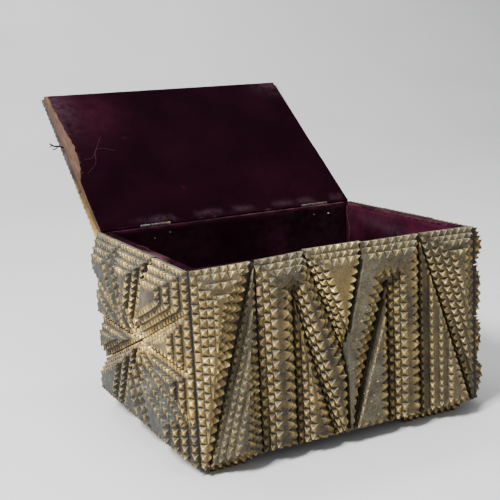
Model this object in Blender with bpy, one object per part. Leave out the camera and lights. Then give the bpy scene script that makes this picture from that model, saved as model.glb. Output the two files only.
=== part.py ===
"""Tramp art box: a hinged, velvet-lined wooden box covered with stacks of
notched wood layers.  Metres, +Z up.  The front looks along -Y.  The lid is
modelled standing open.  Origin: on the floor, in the middle of the whole
object's length and width as it stands with its lid open."""
import math

import bmesh
import bpy
from mathutils import Matrix, Vector

for old in list(bpy.data.objects):
    bpy.data.objects.remove(old, do_unlink=True)

MM = 0.001

# ---- driving dimensions (mm) ------------------------------------------------
BOX_W = 250.0          # carcass, along X
BOX_D = 192.2          # carcass, along Y
FOOT_H = 8.0           # floor to the underside of the bottom board
BODY_H = 146.2         # height of the ornament above FOOT_H
RIM_Z = 153.4          # top of the bare walls
WALL = 7.0             # wall boards
BASE = 6.0             # bottom board
GAP = 0.3              # clearance kept between separate pieces
VELVET = 1.0           # lining thickness
T_FRONT = 4.0          # thickness of one notched layer, front
T_END = 4.3            # thickness of one notched layer, ends
T_BACK = 4.0
T_LID = 4.0
END_BACK = 5.0         # the left end ornament runs this far past the back wall
LID_T = 6.0            # lid board
LID_LEFT, LID_RIGHT = -125.0, 128.5   # the lid board oversails the right wall a little
LID_FRONT = -91.6      # front edge of the closed lid board
BORDER_OVER = 3.0      # the lid's border runs this far past the board at both ends
SKEW_LEFT = 2.4        # its front corners sit a little to the right of square
SKEW_RIGHT = 2.6
BORDER_FRONT = 2.0     # and this far past its front edge
LID_OPEN = 142.7       # opening angle of the lid as modelled, degrees
AXIS_Y = 97.6          # hinge axis
AXIS_Z = 154.8
LID_Z = 156.3          # underside of the lid board when closed
HINGE_X = (-75.0, 88.0)
HINGE_L = 28.0
BARREL_R = 1.4
PIN_R = 0.6
BORE_R = 0.9
LEAF_T = 0.8
LEAF_H = 11.5

# the open lid reaches far behind the box, so the middle of the whole is behind
# the middle of the carcass
LID_REACH = AXIS_Y - (LID_FRONT - BORDER_FRONT - AXIS_Y) * -math.cos(math.radians(LID_OPEN)) \
    + (LID_Z + LID_T + T_LID - AXIS_Z) * math.sin(math.radians(LID_OPEN))
FRONT_REACH = -BOX_D / 2 - 4 * T_FRONT
MIDDLE_Y = (LID_REACH + FRONT_REACH) / 2

# ---- collections and materials ----------------------------------------------
parts = bpy.data.collections.new("tramp_art_box")
bpy.context.scene.collection.children.link(parts)
cutters = bpy.data.collections.new("cutters")
bpy.context.scene.collection.children.link(cutters)


def material(name, colour, rough, metal=0.0):
    m = bpy.data.materials.new(name)
    m.use_nodes = True
    b = m.node_tree.nodes["Principled BSDF"]
    b.inputs["Base Color"].default_value = (*colour, 1.0)
    b.inputs["Roughness"].default_value = rough
    b.inputs["Metallic"].default_value = metal
    m.diffuse_color = (*colour, 1.0)
    return m


BRONZE = material("bronze_paint", (0.27, 0.21, 0.10), 0.5, 0.35)
BRONZE_WARM = material("bronze_paint_warm", (0.34, 0.26, 0.11), 0.5, 0.35)
BARE = material("bare_wood", (0.36, 0.20, 0.11), 0.75)
VELVET_MAT = material("velvet", (0.05, 0.004, 0.016), 0.95)
STEEL = material("hinge_steel", (0.55, 0.52, 0.48), 0.35, 1.0)


# ---- helpers ------------------------------------------------------------------
def empty(name, location, rotation=(0, 0, 0), parent=None):
    e = bpy.data.objects.new(name, None)
    e.location = [v * MM for v in location]
    e.rotation_euler = rotation
    e.parent = parent
    parts.objects.link(e)
    return e


def finish(obj, mat, parent=None, location=(0, 0, 0)):
    obj.data.materials.clear()
    obj.data.materials.append(mat)
    obj.parent = parent
    obj.location = [v * MM for v in location]
    return obj


def board(name, low, high, mat, parent=None):
    """A rectangular board between two corners (mm), origin at its middle."""
    low, high = Vector(low), Vector(high)
    size, mid = high - low, (high + low) / 2
    me = bpy.data.meshes.new(name)
    bm = bmesh.new()
    bmesh.ops.create_cube(bm, size=1.0, matrix=Matrix.Diagonal((*(size * MM), 1.0)))
    bm.to_mesh(me)
    bm.free()
    obj = bpy.data.objects.new(name, me)
    parts.objects.link(obj)
    return finish(obj, mat, parent, mid)


def evaluated_mesh(obj, name):
    bpy.context.view_layer.update()
    dg = bpy.context.evaluated_depsgraph_get()
    me = bpy.data.meshes.new_from_object(obj.evaluated_get(dg))
    me.name = name
    return me


def flat_piece(name, outline, z0, z1):
    """A flat outline (mm) as a filled 2D curve, extruded from z0 to z1."""
    cu = bpy.data.curves.new(name, "CURVE")
    cu.dimensions = "2D"
    cu.fill_mode = "BOTH"
    cu.extrude = (z1 - z0) / 2 * MM
    sp = cu.splines.new("POLY")
    sp.points.add(len(outline) - 1)
    for p, (x, y) in zip(sp.points, outline):
        p.co = (x * MM, y * MM, 0.0, 1.0)
    sp.use_cyclic_u = True
    tmp = bpy.data.objects.new(name + "_outline", cu)
    cutters.objects.link(tmp)
    me = evaluated_mesh(tmp, name)
    bpy.data.objects.remove(tmp, do_unlink=True)
    bpy.data.curves.remove(cu)
    bm = bmesh.new()
    bm.from_mesh(me)
    bmesh.ops.remove_doubles(bm, verts=bm.verts, dist=0.00001)
    bmesh.ops.translate(bm, verts=bm.verts, vec=(0, 0, (z0 + z1) / 2 * MM))
    bmesh.ops.recalc_face_normals(bm, faces=bm.faces)
    bm.to_mesh(me)
    bm.free()
    obj = bpy.data.objects.new(name, me)
    parts.objects.link(obj)
    return obj


def combine(obj, others, operation="UNION"):
    """Boolean of obj with others; the others are used up."""
    for o in others:
        for col in list(o.users_collection):
            col.objects.unlink(o)
        cutters.objects.link(o)
        o.hide_render = True
        o.display_type = "WIRE"
        m = obj.modifiers.new("join", "BOOLEAN")
        m.operation = operation
        m.solver = "EXACT"
        m.object = o
    me = evaluated_mesh(obj, obj.name)
    obj.modifiers.clear()
    obj.data = me
    for o in others:
        bpy.data.objects.remove(o, do_unlink=True)
    return obj


def inset(outline, steps):
    """Convex outline (anticlockwise) with each edge moved inwards by its own
    distance; edges that vanish are dropped."""
    poly = [Vector(p) for p in outline]
    n = len(outline)
    for i in range(n):
        a, b = Vector(outline[i]), Vector(outline[(i + 1) % n])
        e = (b - a).normalized()
        nrm = Vector((-e.y, e.x))
        base = nrm.dot(a) + steps[i]
        out = []
        for j, p in enumerate(poly):
            q = poly[(j + 1) % len(poly)]
            dp, dq = nrm.dot(p) - base, nrm.dot(q) - base
            if dp >= 0:
                out.append(p)
            if (dp > 0) != (dq > 0) and abs(dp - dq) > 1e-9:
                out.append(p + (q - p) * (dp / (dp - dq)))
        poly = []
        for p in out:
            if not poly or (p - poly[-1]).length > 0.05:
                poly.append(p)
        if len(poly) > 1 and (poly[0] - poly[-1]).length < 0.05:
            poly.pop()
    return [tuple(p) for p in poly]


def layer_steps(edge_insets, k):
    return [e[k] if isinstance(e, tuple) else e * k for e in edge_insets]


def nested(outline, edge_insets, count):
    """Outlines of a stack whose layers shrink inside one another."""
    return [inset(outline, layer_steps(edge_insets, k)) for k in range(count)]


def stack(name, layers, t, mat, parent):
    """Glued stack of flat layers as one stepped solid; it stands GAP off the
    board behind it.  Its origin is the middle of its first layer."""
    cx = sum(p[0] for p in layers[0]) / len(layers[0])
    cy = sum(p[1] for p in layers[0]) / len(layers[0])
    moved = [[(x - cx, y - cy) for x, y in layer] for layer in layers]
    obj = flat_piece(name, moved[0], GAP, t)
    upper = []
    for k, layer in enumerate(moved[1:], start=1):
        upper.append(flat_piece("%s_layer%d" % (name, k + 1), layer, (k - 0.5) * t, (k + 1) * t))
    if upper:
        combine(obj, upper)
    return finish(obj, mat, parent, (cx, cy, 0))


# ---- carcass, placed from its own middle ---------------------------------------------------------------
hx, hy = BOX_W / 2, BOX_D / 2
board("carcass_bottom", (-hx, -hy, FOOT_H), (hx, hy, FOOT_H + BASE), BARE)
wz = FOOT_H + BASE + GAP
board("carcass_front", (-hx, -hy, wz), (hx, -hy + WALL, RIM_Z), BARE)
board("carcass_back", (-hx, hy - WALL, wz), (hx, hy, RIM_Z), BARE)
side_y = hy - WALL - GAP
board("carcass_left", (-hx, -side_y, wz), (-hx + WALL, side_y, RIM_Z), BARE)
board("carcass_right", (hx - WALL, -side_y, wz), (hx, side_y, RIM_Z), BARE)

# ---- velvet lining: an open tray whose rim is turned over the walls -------------
ix, iy = hx - WALL - GAP, hy - WALL - GAP
lining = board("velvet_lining", (-ix, -iy, wz), (ix, iy, RIM_Z + GAP + VELVET), VELVET_MAT)
rim = board("lining_rim", (-hx + 1.2, -hy + 1.2, RIM_Z + GAP), (hx - 1.2, hy - 0.7, RIM_Z + GAP + VELVET), VELVET_MAT)
hollow = board("lining_hollow", (-ix + VELVET, -iy + VELVET, wz + VELVET), (ix - VELVET, iy - VELVET, RIM_Z + 20), VELVET_MAT)
for o in (rim, hollow):
    o.location = [a - b for a, b in zip(o.location, lining.location)]
    o.parent = lining
combine(lining, [rim])
combine(lining, [hollow], "DIFFERENCE")

# ---- faces: local x along the face, local y up, local z outwards ----------------
up = math.pi / 2
front = empty("front_face", (-hx, -hy, FOOT_H), (up, 0, 0))
left = empty("left_face", (-hx, hy + END_BACK, FOOT_H), (up, 0, -up))
right = empty("right_face", (hx, -hy, FOOT_H), (up, 0, up))
back = empty("back_face", (hx, hy, FOOT_H), (up, 0, 2 * up))

# ---- front ornament: bars, diagonals and triangles, left to right ----------------
TOP = BODY_H
BOT = 1.0

stack("front_left_corner_fan", nested(
    [(0.6, BOT), (5.6, BOT), (46.5, TOP + 0.8), (0.6, TOP)],
    [3.0, (0, 6.4, 12.0, 17.6), (0, 3.4, 9.5, 17.5), 3.8], 4), T_FRONT, BRONZE, front)
stack("front_left_upright", nested(
    [(7.0, BOT), (48.7, BOT), (48.7, 142.0)],
    [3.0, 4.6, 3.8], 4), T_FRONT, BRONZE, front)


def zigzag(k, seam):
    """Bar, cap and diagonal cut as one layer: a bar whose top runs over into
    a diagonal that falls to the middle of the face."""
    left_x = 50.9 + 3.6 * k
    bar_x = 79.0 - 3.6 * k
    left_top, top_z = TOP + 0.8 - 4.0 * k, TOP + 2.5 - 4.0 * k
    bot_z = BOT + 2.5 * k
    cap_z = 122.5 + 3.5 * k
    mid_x = seam - 0.6 * k

    def inner_x(z):
        return 79.8 + 0.276 * (122.5 - z) + (0, 0.9, 3.6)[k]

    def outer_z(x):
        return TOP - (x + 4.0 * k - 90.3) / 0.379

    def outer_x(z):
        return 90.3 + 0.379 * (TOP - z) - 4.0 * k

    return [(left_x, bot_z), (bar_x, bot_z), (bar_x, cap_z), (inner_x(cap_z), cap_z),
            (inner_x(bot_z), bot_z), (mid_x, bot_z), (mid_x, outer_z(mid_x)),
            (outer_x(top_z), top_z), (left_x, left_top)]


def right_zigzag(k):
    """The same piece on the right, cut narrower: its diagonal follows the
    centre V and ends in a point at the foot."""
    top_z, bot_z, mid_x = TOP + 2.7 - 4.0 * k, BOT + 2.5 * k, 120.9 + 0.45 * k
    cap, knee, toe = [((160.5, 117.0), (144.2, 65.0), 124.1), ((156.0, 120.5), (138.0, 65.0), 124.0),
                      ((151.8, 124.0), (131.9, 65.0), 123.6)][k]
    bar_x, right_x = 163.6 + 3.6 * k, 191.7 - 3.6 * k
    return [(right_x, top_z), (120.5 + 0.4 * k + 0.241 * (top_z - 70.0), top_z), (mid_x, 71.7), (mid_x, bot_z),
            (toe, bot_z), knee, cap, (bar_x, cap[1]), (bar_x, bot_z), (right_x, bot_z)]


stack("front_left_zigzag", [zigzag(k, 120.0) for k in range(3)], T_FRONT, BRONZE, front)
stack("front_left_inner_triangle", nested(
    [(80.4, BOT), (111.6, BOT), (80.4, 114.0)],
    [2.5, 3.0, 3.4], 3), T_FRONT, BRONZE, front)
stack("front_centre_v", nested(
    [(119.8, 70.0), (139.0, TOP + 3.5), (89.6, TOP + 3.5)],
    [(0, 1.7, 3.4), (0, 4.5, 8.5), (0, 2.6, 6.0)], 3), T_FRONT, BRONZE, front)
stack("front_right_zigzag", [right_zigzag(k) for k in range(3)], T_FRONT, BRONZE, front)
stack("front_right_inner_triangle", nested(
    [(125.3, BOT), (161.4, BOT), (161.4, 115.0)],
    [2.5, 3.4, 0.5], 3), T_FRONT, BRONZE, front)
stack("front_right_upright", nested(
    [(194.2, BOT), (242.8, BOT), (194.2, 142.0)],
    [3.0, 2.6, 6.4], 4), T_FRONT, BRONZE, front)
stack("front_right_corner_fan", nested(
    [(245.6, 2.0), (246.2, 2.0), (246.2, TOP + 1.8), (194.7, TOP + 2.7)],
    [3.0, 4.8, (0, 3.8, 7.5, 14.5), 4.8], 4), T_FRONT, BRONZE, front)

# ---- end ornament: a ten-petalled star on each end -----------------------------
END_L = BOX_D + END_BACK       # length of the end face


def petals(length, side):
    """Petals round the centre of an end face: name, outline, insets, layers.
    Local x runs from the back edge (0) to the front edge (length)."""
    c = (length / 2, BODY_H / 2)
    q1, q2 = 0.31 * length, 0.69 * length
    za, zb, zc = 0.23 * BODY_H, 0.49 * BODY_H, 0.79 * BODY_H
    edge, ray = 4.5, 4.0
    lo, hi, x0, x1 = 0.8, BODY_H - 0.2, 0.6, length - 0.6
    return [
        ("back_low", [c, (x0, zb), (x0, za)], [ray, side, ray], 3),
        ("back_high", [c, (x0, zc), (x0, zb)], [ray, side, ray], 3),
        ("back_top", [c, (q1, hi), (x0, hi), (x0, zc)], [ray, edge, side, ray], 4),
        ("top", [c, (q2, hi), (q1, hi)], [ray, edge, ray], 4),
        ("front_top", [c, (x1, zc), (x1, hi), (q2, hi)], [ray, side, edge, ray], 4),
        ("front_high", [c, (x1, zb), (x1, zc)], [ray, side, ray], 3),
        ("front_low", [c, (x1, za), (x1, zb)], [ray, side, ray], 3),
        ("front_bottom", [c, (q2, lo), (x1, lo), (x1, za)], [ray, edge, side, ray], 4),
        ("bottom", [c, (q1, lo), (q2, lo)], [ray, edge, ray], 4),
        ("back_bottom", [c, (x0, za), (x0, lo), (q1, lo)], [ray, side, edge, ray], 4),
    ]


PETAL_GAP = 0.55       # half the gap between neighbouring petals


def petal_layers(outline, insets, count):
    centre = outline[0]
    if sum(a[0] * b[1] - a[1] * b[0] for a, b in zip(outline, outline[1:] + outline[:1])) < 0:
        outline = outline[::-1]
        insets = insets[-2::-1] + insets[-1:]
    # first edge and last edge are the rays that meet at the centre
    n = len(outline)
    c = outline
    grown = []
    for k in range(count):
        steps = []
        for i in range(n):
            is_ray = centre in (c[i], c[(i + 1) % n])
            steps.append(insets[i] * k + (PETAL_GAP if is_ray else 0.0))
        grown.append(inset(outline, steps))
    return grown


for petal, outline, insets, count in petals(END_L, 7.6):
    stack("left_star_" + petal, petal_layers(outline, insets, count), T_END, BRONZE_WARM, left)

# the right end is the same star seen in a mirror, flush with the back wall
for petal, outline, insets, count in petals(BOX_D, 3.2):
    layers = [[(BOX_D - x, z) for x, z in reversed(layer)] for layer in petal_layers(outline, insets, count)]
    stack("right_star_" + petal, layers, T_END, BRONZE_WARM, right)

# ---- back ornament: a plain zigzag of triangles, two layers -------------------------
BACK_TOP = 131.0
B0, B1, B2, B3, B4 = 1.0, 62.0, 125.0, 188.0, 249.0
back_pieces = [
    ("back_upright_1", [(B0 + 3, BOT), (B2 - 2, BOT), (B1 + 0.5, BACK_TOP - 4)]),
    ("back_upright_2", [(B2 + 2, BOT), (B4 - 3, BOT), (B3 - 0.5, BACK_TOP - 4)]),
    ("back_inverted_1", [(B0, BOT + 5), (B1 - 2.5, BACK_TOP), (B0, BACK_TOP)]),
    ("back_inverted_2", [(B2, BOT + 4), (B3 - 3.5, BACK_TOP), (B1 + 3.5, BACK_TOP)]),
    ("back_inverted_3", [(B4, BOT + 5), (B4, BACK_TOP), (B3 + 2.5, BACK_TOP)]),
]
for name, outline in back_pieces:
    stack(name, nested(outline, [6.0, 6.0, 6.0], 2), T_BACK, BRONZE, back)

# ---- feet: low pads of two notched layers under the corners --------------------------
FOOT_LAYER = (FOOT_H - GAP) / 2
feet = {
    "foot_front_left": ((-hx + 4, -hy + 2), (-hx + 42, -hy + 30)),
    "foot_front_right": ((hx - 70, -hy + 2), (hx - 13, -hy + 30)),
    "foot_back_left": ((-hx + 1, hy - 28), (-hx + 41, hy + 6)),
    "foot_back_right": ((hx - 41, hy - 28), (hx - 1, hy + 6)),
}
for name, (a, b) in feet.items():
    foot = board(name, (a[0], a[1], FOOT_LAYER), (b[0], b[1], FOOT_H - GAP), BRONZE)
    pad = board(name + "_pad", (a[0] + 3.5, a[1] + 3.5, 0.0), (b[0] - 3.5, b[1] - 3.5, FOOT_H - GAP - 1.0), BRONZE)
    pad.location = [p - q for p, q in zip(pad.location, foot.location)]
    pad.parent = foot
    combine(foot, [pad])

# ---- hinges: the fixed half stays on the back wall ------------------------------------
hinge_axis = empty("lid_axis", (0, AXIS_Y, AXIS_Z), (math.radians(-LID_OPEN), 0, 0))


def rod(name, x0, x1, r, y=0.0, z=0.0):
    me = bpy.data.meshes.new(name)
    bm = bmesh.new()
    bmesh.ops.create_cone(bm, cap_ends=True, segments=16, radius1=r * MM, radius2=r * MM, depth=(x1 - x0) * MM,
                          matrix=Matrix.Translation(((x0 + x1) / 2 * MM, y * MM, z * MM))
                          @ Matrix.Rotation(math.pi / 2, 4, "Y"))
    bm.to_mesh(me)
    bm.free()
    obj = bpy.data.objects.new(name, me)
    parts.objects.link(obj)
    return obj


third = HINGE_L / 3
wall_y = hy + GAP - AXIS_Y          # outer face of the back wall seen from the axis
for side, x in (("left", HINGE_X[0]), ("right", HINGE_X[1])):
    # fixed leaf, its two knuckles and the pin riveted in them
    fixed = board("hinge_%s_fixed" % side, (-HINGE_L / 2, wall_y, -LEAF_H), (HINGE_L / 2, wall_y + LEAF_T, -1.75), STEEL)
    fixed.data.transform(Matrix.Translation(fixed.location))
    fixed.location = (0, 0, 0)
    tabs = [board("tab1", (-HINGE_L / 2, wall_y, -3.0), (-third / 2 - 0.15, wall_y + LEAF_T, -0.5), STEEL),
            board("tab2", (third / 2 + 0.15, wall_y, -3.0), (HINGE_L / 2, wall_y + LEAF_T, -0.5), STEEL)]
    k1 = rod("k1", -HINGE_L / 2, -third / 2 - 0.15, BARREL_R)
    k2 = rod("k2", third / 2 + 0.15, HINGE_L / 2, BARREL_R)
    pin = rod("pin", -HINGE_L / 2 + 2, HINGE_L / 2 - 2, PIN_R)
    combine(fixed, tabs + [pin, k1, k2])
    fixed.location = (x * MM, AXIS_Y * MM, AXIS_Z * MM)
    # moving leaf on the lid's back edge, with the middle knuckle
    leaf = board("hinge_%s_moving" % side, (-HINGE_L / 2, wall_y, 0.5), (HINGE_L / 2, wall_y + LEAF_T, LID_Z + LID_T - AXIS_Z), STEEL)
    leaf.data.transform(Matrix.Translation(leaf.location))
    leaf.location = (0, 0, 0)
    notch = [board("n1", (-HINGE_L / 2 - 1, -4, -3), (-third / 2 + 0.15, 4, 1.75), STEEL),
             board("n2", (third / 2 - 0.15, -4, -3), (HINGE_L / 2 + 1, 4, 1.75), STEEL)]
    knuckle = rod("knuckle", -third / 2 + 0.15, third / 2 - 0.15, BARREL_R)
    bore = rod("bore", -third, third, BORE_R)
    combine(leaf, [knuckle])
    combine(leaf, notch + [bore], "DIFFERENCE")
    leaf.parent = hinge_axis
    leaf.location = (x * MM, 0, 0)

# ---- lid, drawn closed about the hinge axis and turned open with it ----------------------
lid = empty("lid_plane", (0, -AXIS_Y, -AXIS_Z), (0, 0, 0), hinge_axis)
board("lid_board", (LID_LEFT, LID_FRONT, LID_Z), (LID_RIGHT, hy, LID_Z + LID_T), BARE, lid)
board("lid_velvet", (LID_LEFT + 3.0, LID_FRONT + 2.0, LID_Z - GAP - VELVET), (LID_RIGHT - 1.5, hy - 0.5, LID_Z - GAP), VELVET_MAT, lid)
lid_top = empty("lid_top", (LID_LEFT - BORDER_OVER, LID_FRONT - BORDER_FRONT, LID_Z + LID_T), (0, 0, 0), lid)
LW, LL = LID_RIGHT - LID_LEFT + 2 * BORDER_OVER, hy - LID_FRONT + BORDER_FRONT
FRAME_W = 17.0
frame = flat_piece("lid_border", [(SKEW_LEFT, 0), (LW + SKEW_RIGHT, 0), (LW, LL), (0, LL)], GAP, T_LID)
window = flat_piece("window", [(FRAME_W, FRAME_W), (LW - FRAME_W, FRAME_W),
                               (LW - FRAME_W, LL - FRAME_W), (FRAME_W, LL - FRAME_W)], -2, T_LID + 2)
combine(frame, [window], "DIFFERENCE")
finish(frame, BRONZE, lid_top)
f = FRAME_W + 0.8
mx, my = LW / 2, LL / 2
d = 1.2
stack("lid_triangle_front", nested([(f + 2 * d, f), (LW - f - 2 * d, f), (mx, my - d)], [6, 6, 6], 2), T_LID, BRONZE, lid_top)
stack("lid_triangle_back", nested([(LW - f - 2 * d, LL - f), (f + 2 * d, LL - f), (mx, my + d)], [6, 6, 6], 2), T_LID, BRONZE, lid_top)
stack("lid_triangle_left", nested([(f, f + 2 * d), (mx - 1.6 * d, my), (f, LL - f - 2 * d)], [6, 6, 6], 2), T_LID, BRONZE, lid_top)
stack("lid_triangle_right", nested([(LW - f, LL - f - 2 * d), (mx + 1.6 * d, my), (LW - f, f + 2 * d)], [6, 6, 6], 2), T_LID, BRONZE, lid_top)

# ---- everything hangs on one frame, set back by the middle of the whole ------------
box_frame = empty("box_frame", (0, -MIDDLE_Y, 0))
for o in list(parts.objects):
    if o.parent is None and o is not box_frame:
        o.parent = box_frame

bpy.context.view_layer.update()
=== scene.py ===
"""The looks of the tramp art box: notched layers, worn bronze paint, plum
velvet, hinges, threads, floor, light and camera.  Lengths in mm unless said."""
import math
import random

import bpy
from mathutils import Euler, Matrix, Vector, noise


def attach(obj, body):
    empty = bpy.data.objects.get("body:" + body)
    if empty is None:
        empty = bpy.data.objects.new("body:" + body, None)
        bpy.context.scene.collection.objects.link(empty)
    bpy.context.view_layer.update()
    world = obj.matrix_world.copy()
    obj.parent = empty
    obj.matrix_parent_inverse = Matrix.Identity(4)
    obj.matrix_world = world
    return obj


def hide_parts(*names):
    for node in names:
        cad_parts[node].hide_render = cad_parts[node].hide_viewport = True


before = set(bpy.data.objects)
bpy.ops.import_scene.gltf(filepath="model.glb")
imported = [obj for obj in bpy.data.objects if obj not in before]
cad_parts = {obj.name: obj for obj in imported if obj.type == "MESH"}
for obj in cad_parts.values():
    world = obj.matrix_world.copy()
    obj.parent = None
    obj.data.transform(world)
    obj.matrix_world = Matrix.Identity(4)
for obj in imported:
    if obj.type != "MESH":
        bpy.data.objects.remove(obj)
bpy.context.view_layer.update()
MM = 0.001

# ---- the frame's sizes, repeated from the CAD (mm) ---------------------------
BOX_W, BOX_D, FOOT_H, BODY_H = 250.0, 192.2, 8.0, 146.2
RIM_Z, WALL, BASE, GAP = 153.4, 7.0, 6.0, 0.3
T_FRONT, T_END, T_BACK, T_LID = 4.0, 4.3, 4.0, 4.0
END_BACK = 5.0
LID_T, LID_LEFT, LID_RIGHT, LID_FRONT = 6.0, -125.0, 128.5, -91.6
BORDER_OVER, BORDER_FRONT, FRAME_W = 3.0, 2.0, 17.0
LID_OPEN, AXIS_Y, AXIS_Z, LID_Z = 142.7, 97.6, 154.8, 156.3
HINGE_X, HINGE_L, BARREL_R = (-75.0, 88.0), 28.0, 1.4
hx, hy = BOX_W / 2, BOX_D / 2
TOP, BOT = BODY_H, 1.0
OPEN = math.radians(LID_OPEN)
LID_REACH = AXIS_Y - (LID_FRONT - BORDER_FRONT - AXIS_Y) * -math.cos(OPEN) \
    + (LID_Z + LID_T + T_LID - AXIS_Z) * math.sin(OPEN)
MIDDLE_Y = (LID_REACH - hy - 4 * T_FRONT) / 2
UP = math.pi / 2


def place(x, y, z, rot=(0, 0, 0)):
    """Matrix (mm to metres) of a face frame given in the carcass's own frame."""
    return (Matrix.Scale(MM, 4) @ Matrix.Translation((x, y - MIDDLE_Y, z))
            @ Euler(rot).to_matrix().to_4x4())


FRONT = place(-hx, -hy, FOOT_H, (UP, 0, 0))
LEFT = place(-hx, hy + END_BACK, FOOT_H, (UP, 0, -UP))
RIGHT = place(hx, -hy, FOOT_H, (UP, 0, UP))
BACK = place(hx, hy, FOOT_H, (UP, 0, 2 * UP))
BOX = place(0, 0, 0)
LID = (place(0, AXIS_Y, AXIS_Z) @ Matrix.Rotation(-OPEN, 4, "X")
       @ Matrix.Translation((0, -AXIS_Y, -AXIS_Z)))
LID_OUT = LID @ Matrix.Translation((LID_LEFT - BORDER_OVER, LID_FRONT - BORDER_FRONT, LID_Z + LID_T))


# ---- node materials -----------------------------------------------------------
class Nodes:
    """Short hand for building a node material."""

    def __init__(self, name):
        self.m = bpy.data.materials.new(name)
        self.m.use_nodes = True
        self.t = self.m.node_tree
        self.t.nodes.clear()
        self.out = self.t.nodes.new("ShaderNodeOutputMaterial")
        self.p = self.t.nodes.new("ShaderNodeBsdfPrincipled")
        self.link(self.p.outputs[0], self.out.inputs[0])
        self.co = self.t.nodes.new("ShaderNodeNewGeometry")
        self.obj = self.t.nodes.new("ShaderNodeTexCoord")

    def link(self, a, b):
        self.t.links.new(a, b)

    def put(self, sock, v):
        if isinstance(v, bpy.types.NodeSocket):
            self.link(v, sock)
        elif isinstance(v, (tuple, list)) and len(v) == 3 and len(sock.default_value) == 4:
            sock.default_value = (*v, 1.0)
        else:
            sock.default_value = v

    def attr(self, name):
        n = self.t.nodes.new("ShaderNodeAttribute")
        n.attribute_name = name
        return n.outputs["Fac"]

    def noise(self, scale, detail=3.0, rough=0.55, vec=None, distortion=0.0):
        n = self.t.nodes.new("ShaderNodeTexNoise")
        n.inputs["Scale"].default_value = scale
        n.inputs["Detail"].default_value = detail
        n.inputs["Roughness"].default_value = rough
        n.inputs["Distortion"].default_value = distortion
        self.link(vec or self.obj.outputs["Object"], n.inputs["Vector"])
        return n.outputs["Fac"]

    def stretch(self, sx, sy, sz, rot=(0, 0, 0)):
        """Coordinates turned by rot, then stretched."""
        turned = self.t.nodes.new("ShaderNodeMapping")
        turned.inputs["Rotation"].default_value = rot
        self.link(self.obj.outputs["Object"], turned.inputs["Vector"])
        n = self.t.nodes.new("ShaderNodeMapping")
        n.inputs["Scale"].default_value = (sx, sy, sz)
        self.link(turned.outputs[0], n.inputs["Vector"])
        return n.outputs[0]

    def voronoi(self, scale, vec=None, feature="F1"):
        n = self.t.nodes.new("ShaderNodeTexVoronoi")
        n.feature = feature
        n.inputs["Scale"].default_value = scale
        self.link(vec or self.obj.outputs["Object"], n.inputs["Vector"])
        return n.outputs["Distance"]

    def ramp(self, fac, *stops):
        n = self.t.nodes.new("ShaderNodeValToRGB")
        r = n.color_ramp
        while len(r.elements) < len(stops):
            r.elements.new(0.5)
        for e, (pos, col) in zip(r.elements, stops):
            e.position = pos
            e.color = (*col, 1.0) if isinstance(col, (tuple, list)) else (col, col, col, 1.0)
        self.link(fac, n.inputs[0])
        return n.outputs[0]

    def math(self, op, a, b=0.5, clamp=False):
        n = self.t.nodes.new("ShaderNodeMath")
        n.operation = op
        n.use_clamp = clamp
        self.put(n.inputs[0], a)
        self.put(n.inputs[1], b)
        return n.outputs[0]

    def mix(self, fac, a, b, blend="MIX"):
        n = self.t.nodes.new("ShaderNodeMix")
        n.data_type = "RGBA"
        n.blend_type = blend
        self.put(n.inputs[0], fac)
        self.put(n.inputs[6], a)
        self.put(n.inputs[7], b)
        return n.outputs[2]

    def bump(self, height, strength=0.3, dist=0.0005, under=None):
        n = self.t.nodes.new("ShaderNodeBump")
        n.inputs["Strength"].default_value = strength
        n.inputs["Distance"].default_value = dist
        self.link(height, n.inputs["Height"])
        if under is not None:
            self.link(under, n.inputs["Normal"])
        return n.outputs[0]

    def up(self):
        """How far the surface looks up, 0 to 1."""
        n = self.t.nodes.new("ShaderNodeSeparateXYZ")
        self.link(self.co.outputs["Normal"], n.inputs[0])
        return n.outputs["Z"]

    def side(self):
        n = self.t.nodes.new("ShaderNodeSeparateXYZ")
        self.link(self.co.outputs["Normal"], n.inputs[0])
        return n.outputs["X"]


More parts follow.
